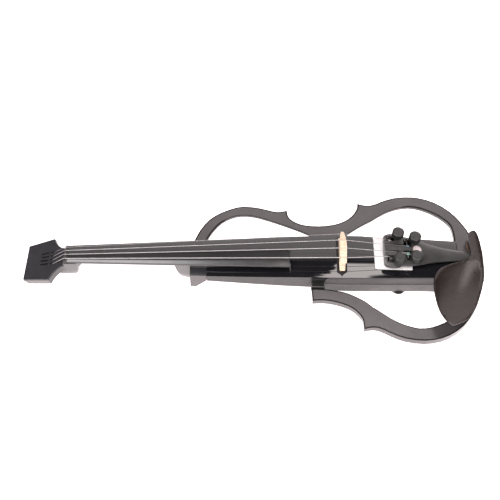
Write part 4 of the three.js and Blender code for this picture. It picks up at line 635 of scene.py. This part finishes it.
def creased_cover(ridge, flare, highlight_band):
    """The back cover: its walls flare out to a crisp ridge with a painted highlight line under it.
    """
    piece = merged_copy("back_cover", near=0.08)
    mesh = piece.data
    levels = [ridge + above for above, inset in flare]
    for level in (*levels, ridge - highlight_band):
        selected_parts(piece, faces=outer_wall(mesh))
        bpy.ops.mesh.bisect(plane_co=(0, 0, level * MM), plane_no=(0, 0, 1))
        bpy.ops.object.mode_set(mode="OBJECT")
    skin = {corner for face in outer_wall(mesh) for corner in mesh.polygons[face].vertices}
    for corner in skin:
        point = mesh.vertices[corner].co
        for level, (above, inset) in zip(levels, flare):
            if at_level(point, level):
                point.y -= math.copysign(inset * MM, point.y)
    crisp = {
        line.index for line in mesh.edges
        if all(end in skin and at_level(mesh.vertices[end].co, ridge) for end in line.vertices)
    }
    selected_parts(piece, edges=crisp)
    bpy.ops.mesh.mark_sharp()
    bpy.ops.object.mode_set(mode="OBJECT")
    softened(piece, edge=0.3)
    finished(piece, "back_cover", COVER)
    # Painted highlight: a band just under the ridge on the long walls.
    second_look(piece, PAINTED_HIGHLIGHT, lambda face: (
        abs(face.normal.y) > SIDEWAYS and abs(face.center.y) > RIDGE_HALF_WIDTH * MM
        and ridge - highlight_band < face.center.z / MM < ridge
    ))


creased_cover(ridge=26.896, flare=((3.6, 0.8), (1.7, 0.5)), highlight_band=0.7)


# Chin rest

RIM_TOP_RISE = 0.45
RIM_WALL_RISE = -0.3
RIM_WALL_HEIGHT = 0.5
RIM_STEP = 0.7
DISC_RINGS = 3
DISC_SPOKES = 9
RAY_START = 50
DISH_RISE = 0.2
DISH_LOW = 46
RIM_KEPT = 1.2
RIM_CLEAR = 0.6
# How much of the roll-over there is where the wall under the rim doesn't face the tail.
LEAST_ROLL = 0.15


def even_height(piece, point, radius):
    """The surface's height at a point, averaged over a disc around it."""
    total = points = 0
    for ring in range(DISC_RINGS + 1):
        for spoke in range(DISC_SPOKES if ring else 1):
            turn = 2 * math.pi * (spoke + ring / 2) / DISC_SPOKES
            away = radius * ring / DISC_RINGS
            start = (
                point.x + away * math.cos(turn),
                point.y + away * math.sin(turn),
                point.z + RAY_START * MM,
            )
            hit, place, _, _ = piece.ray_cast(start, (0, 0, -1))
            if hit:
                total += place.z
                points += 1
    return total / points if points else point.z


def rim_points(mesh):
    """Points along the top's rim, each with how far the wall below it faces the tail."""
    beside = {}
    for face in mesh.polygons:
        for key in face.edge_keys:
            beside.setdefault(key, []).append(face)
    points = []
    for key, faces in beside.items():
        top, wall = sorted(faces, key=lambda face: -face.normal.z)
        if not top.normal.z > RIM_TOP_RISE > wall.normal.z > RIM_WALL_RISE:
            continue
        if tall(mesh, wall, RIM_WALL_HEIGHT):
            first, last = (mesh.vertices[end].co.copy() for end in key)
            steps = math.ceil((last - first).length / (RIM_STEP * MM))
            facing = max(wall.normal.x, 0.0)
            points += [(first.lerp(last, step / steps), facing) for step in range(steps + 1)]
    return points


def chin_rest(drop, reach, even, deep, crisp):
    """The chin rest: a smooth dish with a crisp edge, and a rim that rolls over to the tail."""
    piece = merged_copy("chinrest", near=0.05)
    mesh = piece.data
    rim = rim_points(mesh)
    nearest = KDTree(len(rim))
    for index, (point, _) in enumerate(rim):
        nearest.insert((point.x, point.y, 0), index)
    nearest.balance()
    finer(piece, cuts=2)
    bpy.ops.object.mode_set(mode="OBJECT")
    top = max(corner.co.z for corner in mesh.vertices)
    heights = []
    for corner in mesh.vertices:
        height = corner.co.z
        _, index, away = nearest.find((corner.co.x, corner.co.y, 0))
        if corner.normal.z > DISH_RISE and height > DISH_LOW * MM and away > RIM_KEPT * MM:
            height = even_height(piece, corner.co, min(even * MM, away - RIM_CLEAR * MM))
            height = top - deep * MM * (max(0.0, top - height) / (deep * MM)) ** crisp
        share = LEAST_ROLL + (1 - LEAST_ROLL) * rim[index][1]
        inward = max(0.0, 1 - away / (share * reach * MM))
        heights.append(height - share * drop * MM * inward ** 2 * (1 + corner.normal.z) / 2)
    for corner, height in zip(mesh.vertices, heights):
        corner.co.z = height
    softened(piece, edge=0, smooth=50)
    finished(piece, "chinrest", CHIN)


# Drop and reach are the roll-over's depth and width, even is how far the dish is averaged, deep is
# its full depth, and crisp, under 1, makes its edge fall away steeply.
chin_rest(drop=2.6, reach=5.0, even=7.0, deep=6.3, crisp=0.6)


# Foam, and the small parts that keep their solids

def foam_sheet():
    """The foam under the tailpiece: a soft sheet with an uneven skin and cut edges."""
    piece = merged_copy("foam_pad")
    finer(piece, cuts=7)
    bpy.ops.transform.vertex_random(offset=0.14 * MM, uniform=0.3, normal=0.8, seed=4)
    bpy.ops.object.mode_set(mode="OBJECT")
    bpy.ops.object.shade_smooth()
    finished(piece, "foam_pad", FOAM)


foam_sheet()

SOLID_LOOKS = [
    (DARK_STEEL, ["neck_screw_treble", "neck_screw_bass"]),
    (DARK_STEEL, ["cover_screw_1", "cover_screw_2", "cover_screw_3", "cover_screw_4"]),
    (BRACKET_PAINT_AND_SHADE, ["bracket_screw"]),
    (RUBBER_AND_SLOT_SHADE, ["tail_gut", "pickup_lead", "battery_snap", "power_switch"]),
    (PALE, ["tuner_dot"]),
    (SHADED_CORK, ["chinrest_cork_treble", "chinrest_cork_bass", "clamp_pad"]),
    (CHROME, ["clamp_rod_treble", "clamp_rod_bass", "clamp_barrel_treble", "clamp_barrel_bass"]),
    (CIRCUIT, ["circuit_board"]),
]
for look, node_names in SOLID_LOOKS:
    for node_name in node_names:
        painted(frame["nodes"][node_name], look)


# Studio

FOCAL_PIXELS = 896.005
PICTURE_PIXELS = 500
SENSOR = 36.0
VIEW_TARGET = Vector((-2.762, 14.826, 28.496)) * MM
VIEW_DISTANCE = 1090.047 * MM
VIEW_TILT = 0.972626
VIEW_ROLL = 0.0281783
FLOOR_SIZE = 8
FLOOR_HEIGHT = -0.2 * MM


def make_camera():
    """The photograph's view: from the bass side, above, a little rolled."""
    ahead = Vector((0, math.cos(VIEW_TILT), -math.sin(VIEW_TILT)))
    level = Vector((1, 0, 0))
    upright = level.cross(ahead)
    right = math.cos(VIEW_ROLL) * level + math.sin(VIEW_ROLL) * upright
    above = -math.sin(VIEW_ROLL) * level + math.cos(VIEW_ROLL) * upright
    data = bpy.data.cameras.new("view")
    data.sensor_width = SENSOR
    data.lens = FOCAL_PIXELS / PICTURE_PIXELS * SENSOR
    data.clip_start = 0.05
    data.clip_end = 50
    camera = bpy.data.objects.new("view", data)
    bpy.context.scene.collection.objects.link(camera)
    axes = Matrix((right, above, -ahead)).transposed().to_4x4()
    camera.matrix_world = Matrix.Translation(VIEW_TARGET - ahead * VIEW_DISTANCE) @ axes
    bpy.context.scene.camera = camera


def make_floor():
    """A plain white floor that lights the undersides, and is clear when seen from below."""
    bpy.ops.mesh.primitive_plane_add(size=FLOOR_SIZE, location=(0, 0, FLOOR_HEIGHT))
    floor = bpy.context.object
    floor.name = "floor"
    material = bpy.data.materials.new("floor_white")
    material.use_nodes = True
    tree = material.node_tree
    tree.nodes.clear()
    glow = tree.nodes.new("ShaderNodeEmission")
    glow.inputs["Color"].default_value = (1, 0.93, 0.93, 1)
    glow.inputs["Strength"].default_value = 1.4
    paint = tree.nodes.new("ShaderNodeBsdfDiffuse")
    paint.inputs["Color"].default_value = (0.6, 0.57, 0.57, 1)
    both = tree.nodes.new("ShaderNodeAddShader")
    clear = tree.nodes.new("ShaderNodeBsdfTransparent")
    side = tree.nodes.new("ShaderNodeNewGeometry")
    choice = tree.nodes.new("ShaderNodeMixShader")
    out = tree.nodes.new("ShaderNodeOutputMaterial")
    tree.links.new(glow.outputs[0], both.inputs[0])
    tree.links.new(paint.outputs[0], both.inputs[1])
    tree.links.new(side.outputs["Backfacing"], choice.inputs["Fac"])
    tree.links.new(both.outputs[0], choice.inputs[1])
    tree.links.new(clear.outputs[0], choice.inputs[2])
    tree.links.new(choice.outputs[0], out.inputs["Surface"])
    floor.data.materials.append(material)


# Lit areas of the studio. Turn is 0 at the far horizon, 0.5 overhead and 1 at the near horizon,
# and lean is how far a direction leans to the tail, from -1 to 1. Each edge is a start and an end.
# A slant moves an area's lean along its turn.
STUDIO_AREAS = {
    "far wall": {
        "turn": ((-0.2, -0.1), (0.315, 0.325)),
        "lean": ((-0.42, -0.33), (0.50, 0.62)),
        "light": (1.62, 1.49, 1.49),
    },
    "near wall": {
        "turn": ((0.69, 0.74), (1.1, 1.2)),
        "lean": ((-2.0, -1.5), (1.5, 2.0)),
        "light": (1.5, 1.4, 1.4),
    },
    "softbox over the neck": {
        "turn": ((0.515, 0.53), (0.70, 0.74)),
        "lean": ((-0.80, -0.70), (-0.26, -0.17)),
        "light": (12.2, 11.8, 12.0),
    },
    "softbox over the body": {
        "turn": ((0.333, 0.348), (0.68, 0.71)),
        "lean": ((0.043, 0.053), (0.21, 0.24)),
        "light": (7.3, 6.7, 6.5),
        "slant": 0.55,
    },
    "far side of the tail": {
        "turn": ((0.315, 0.335), (0.42, 0.46)),
        "lean": ((0.29, 0.34), (0.50, 0.62)),
        "light": (1.2, 1.12, 1.08),
    },
    "near side of the tail": {
        "turn": ((0.74, 0.78), (0.92, 0.96)),
        "lean": ((0.15, 0.25), (0.60, 0.70)),
        "light": (3.5, 3.3, 3.3),
    },
}
STUDIO_DARK = (0.07, 0.063, 0.063)
STUDIO_BACKDROP = (0.93, 0.91, 0.91, 1)
WANDER = 0.02
FOLDS = 0.06
SLANT_START = 0.36


def edge_of(tree, value, start, end, rising):
    """One soft edge of a lit area: 0 to 1 between start and end, or 1 to 0."""
    node = tree.nodes.new("ShaderNodeMapRange")
    node.interpolation_type = "SMOOTHSTEP"
    node.inputs["From Min"].default_value = start
    node.inputs["From Max"].default_value = end
    node.inputs["To Min"].default_value = 0.0 if rising else 1.0
    node.inputs["To Max"].default_value = 1.0 if rising else 0.0
    tree.links.new(value, node.inputs["Value"])
    return node.outputs["Result"]


def arithmetic(tree, kind, first, second):
    """One sum on two values, of which the second may be a number."""
    node = tree.nodes.new("ShaderNodeMath")
    node.operation = kind
    tree.links.new(first, node.inputs[0])
    if isinstance(second, (int, float)):
        node.inputs[1].default_value = second
    else:
        tree.links.new(second, node.inputs[1])
    return node.outputs[0]


def area_share(tree, area, turn, lean):
    """How much of a lit area's light a direction has, from 0 to 1."""
    share = None
    for value, edges in ((turn, area["turn"]), (lean, area["lean"])):
        for (start, end), rising in zip(edges, (True, False)):
            side = edge_of(tree, value, start, end, rising)
            share = arithmetic(tree, "MULTIPLY", side, share) if share else side
    return share


def make_studio():
    """Soft lit areas in a dark room, behind a plain pale backdrop."""
    world = bpy.data.worlds.new("studio")
    bpy.context.scene.world = world
    world.use_nodes = True
    tree = world.node_tree
    direction = tree.nodes.new("ShaderNodeTexCoord").outputs["Generated"]
    parts = tree.nodes.new("ShaderNodeSeparateXYZ")
    tree.links.new(direction, parts.inputs[0])
    angle = arithmetic(tree, "ARCTAN2", parts.outputs["Z"], parts.outputs["Y"])
    wave = arithmetic(tree, "MULTIPLY", noise(tree, direction, size=250.0, detail=1.0), WANDER)
    wander = arithmetic(tree, "ADD", wave, -WANDER / 2)
    turn = arithmetic(tree, "ADD", arithmetic(tree, "DIVIDE", angle, math.pi), wander)
    folds = arithmetic(tree, "MULTIPLY", noise(tree, direction, size=60.0, detail=2.0), FOLDS)
    total = None
    for area in STUDIO_AREAS.values():
        lean = parts.outputs["X"]
        if "slant" in area:
            past_start = arithmetic(tree, "ADD", turn, -SLANT_START)
            aslant = arithmetic(tree, "MULTIPLY", past_start, area["slant"])
            lean = arithmetic(tree, "ADD", lean, arithmetic(tree, "ADD", folds, aslant))
        tint = tree.nodes.new("ShaderNodeVectorMath")
        tint.operation = "MULTIPLY_ADD"
        tree.links.new(area_share(tree, area, turn, lean), tint.inputs[0])
        tint.inputs[1].default_value = area["light"]
        tint.inputs[2].default_value = STUDIO_DARK
        if total:
            tree.links.new(total, tint.inputs[2])
        total = tint.outputs["Vector"]
    in_view = tree.nodes.new("ShaderNodeLightPath").outputs["Is Camera Ray"]
    backdrop = tree.nodes.new("ShaderNodeMix")
    backdrop.data_type = "RGBA"
    backdrop.inputs["B"].default_value = STUDIO_BACKDROP
    tree.links.new(in_view, backdrop.inputs["Factor"])
    tree.links.new(total, backdrop.inputs["A"])
    tree.links.new(backdrop.outputs["Result"], tree.nodes["Background"].inputs["Color"])


make_camera()
make_floor()
make_studio()
bpy.context.scene.view_settings.view_transform = "Standard"
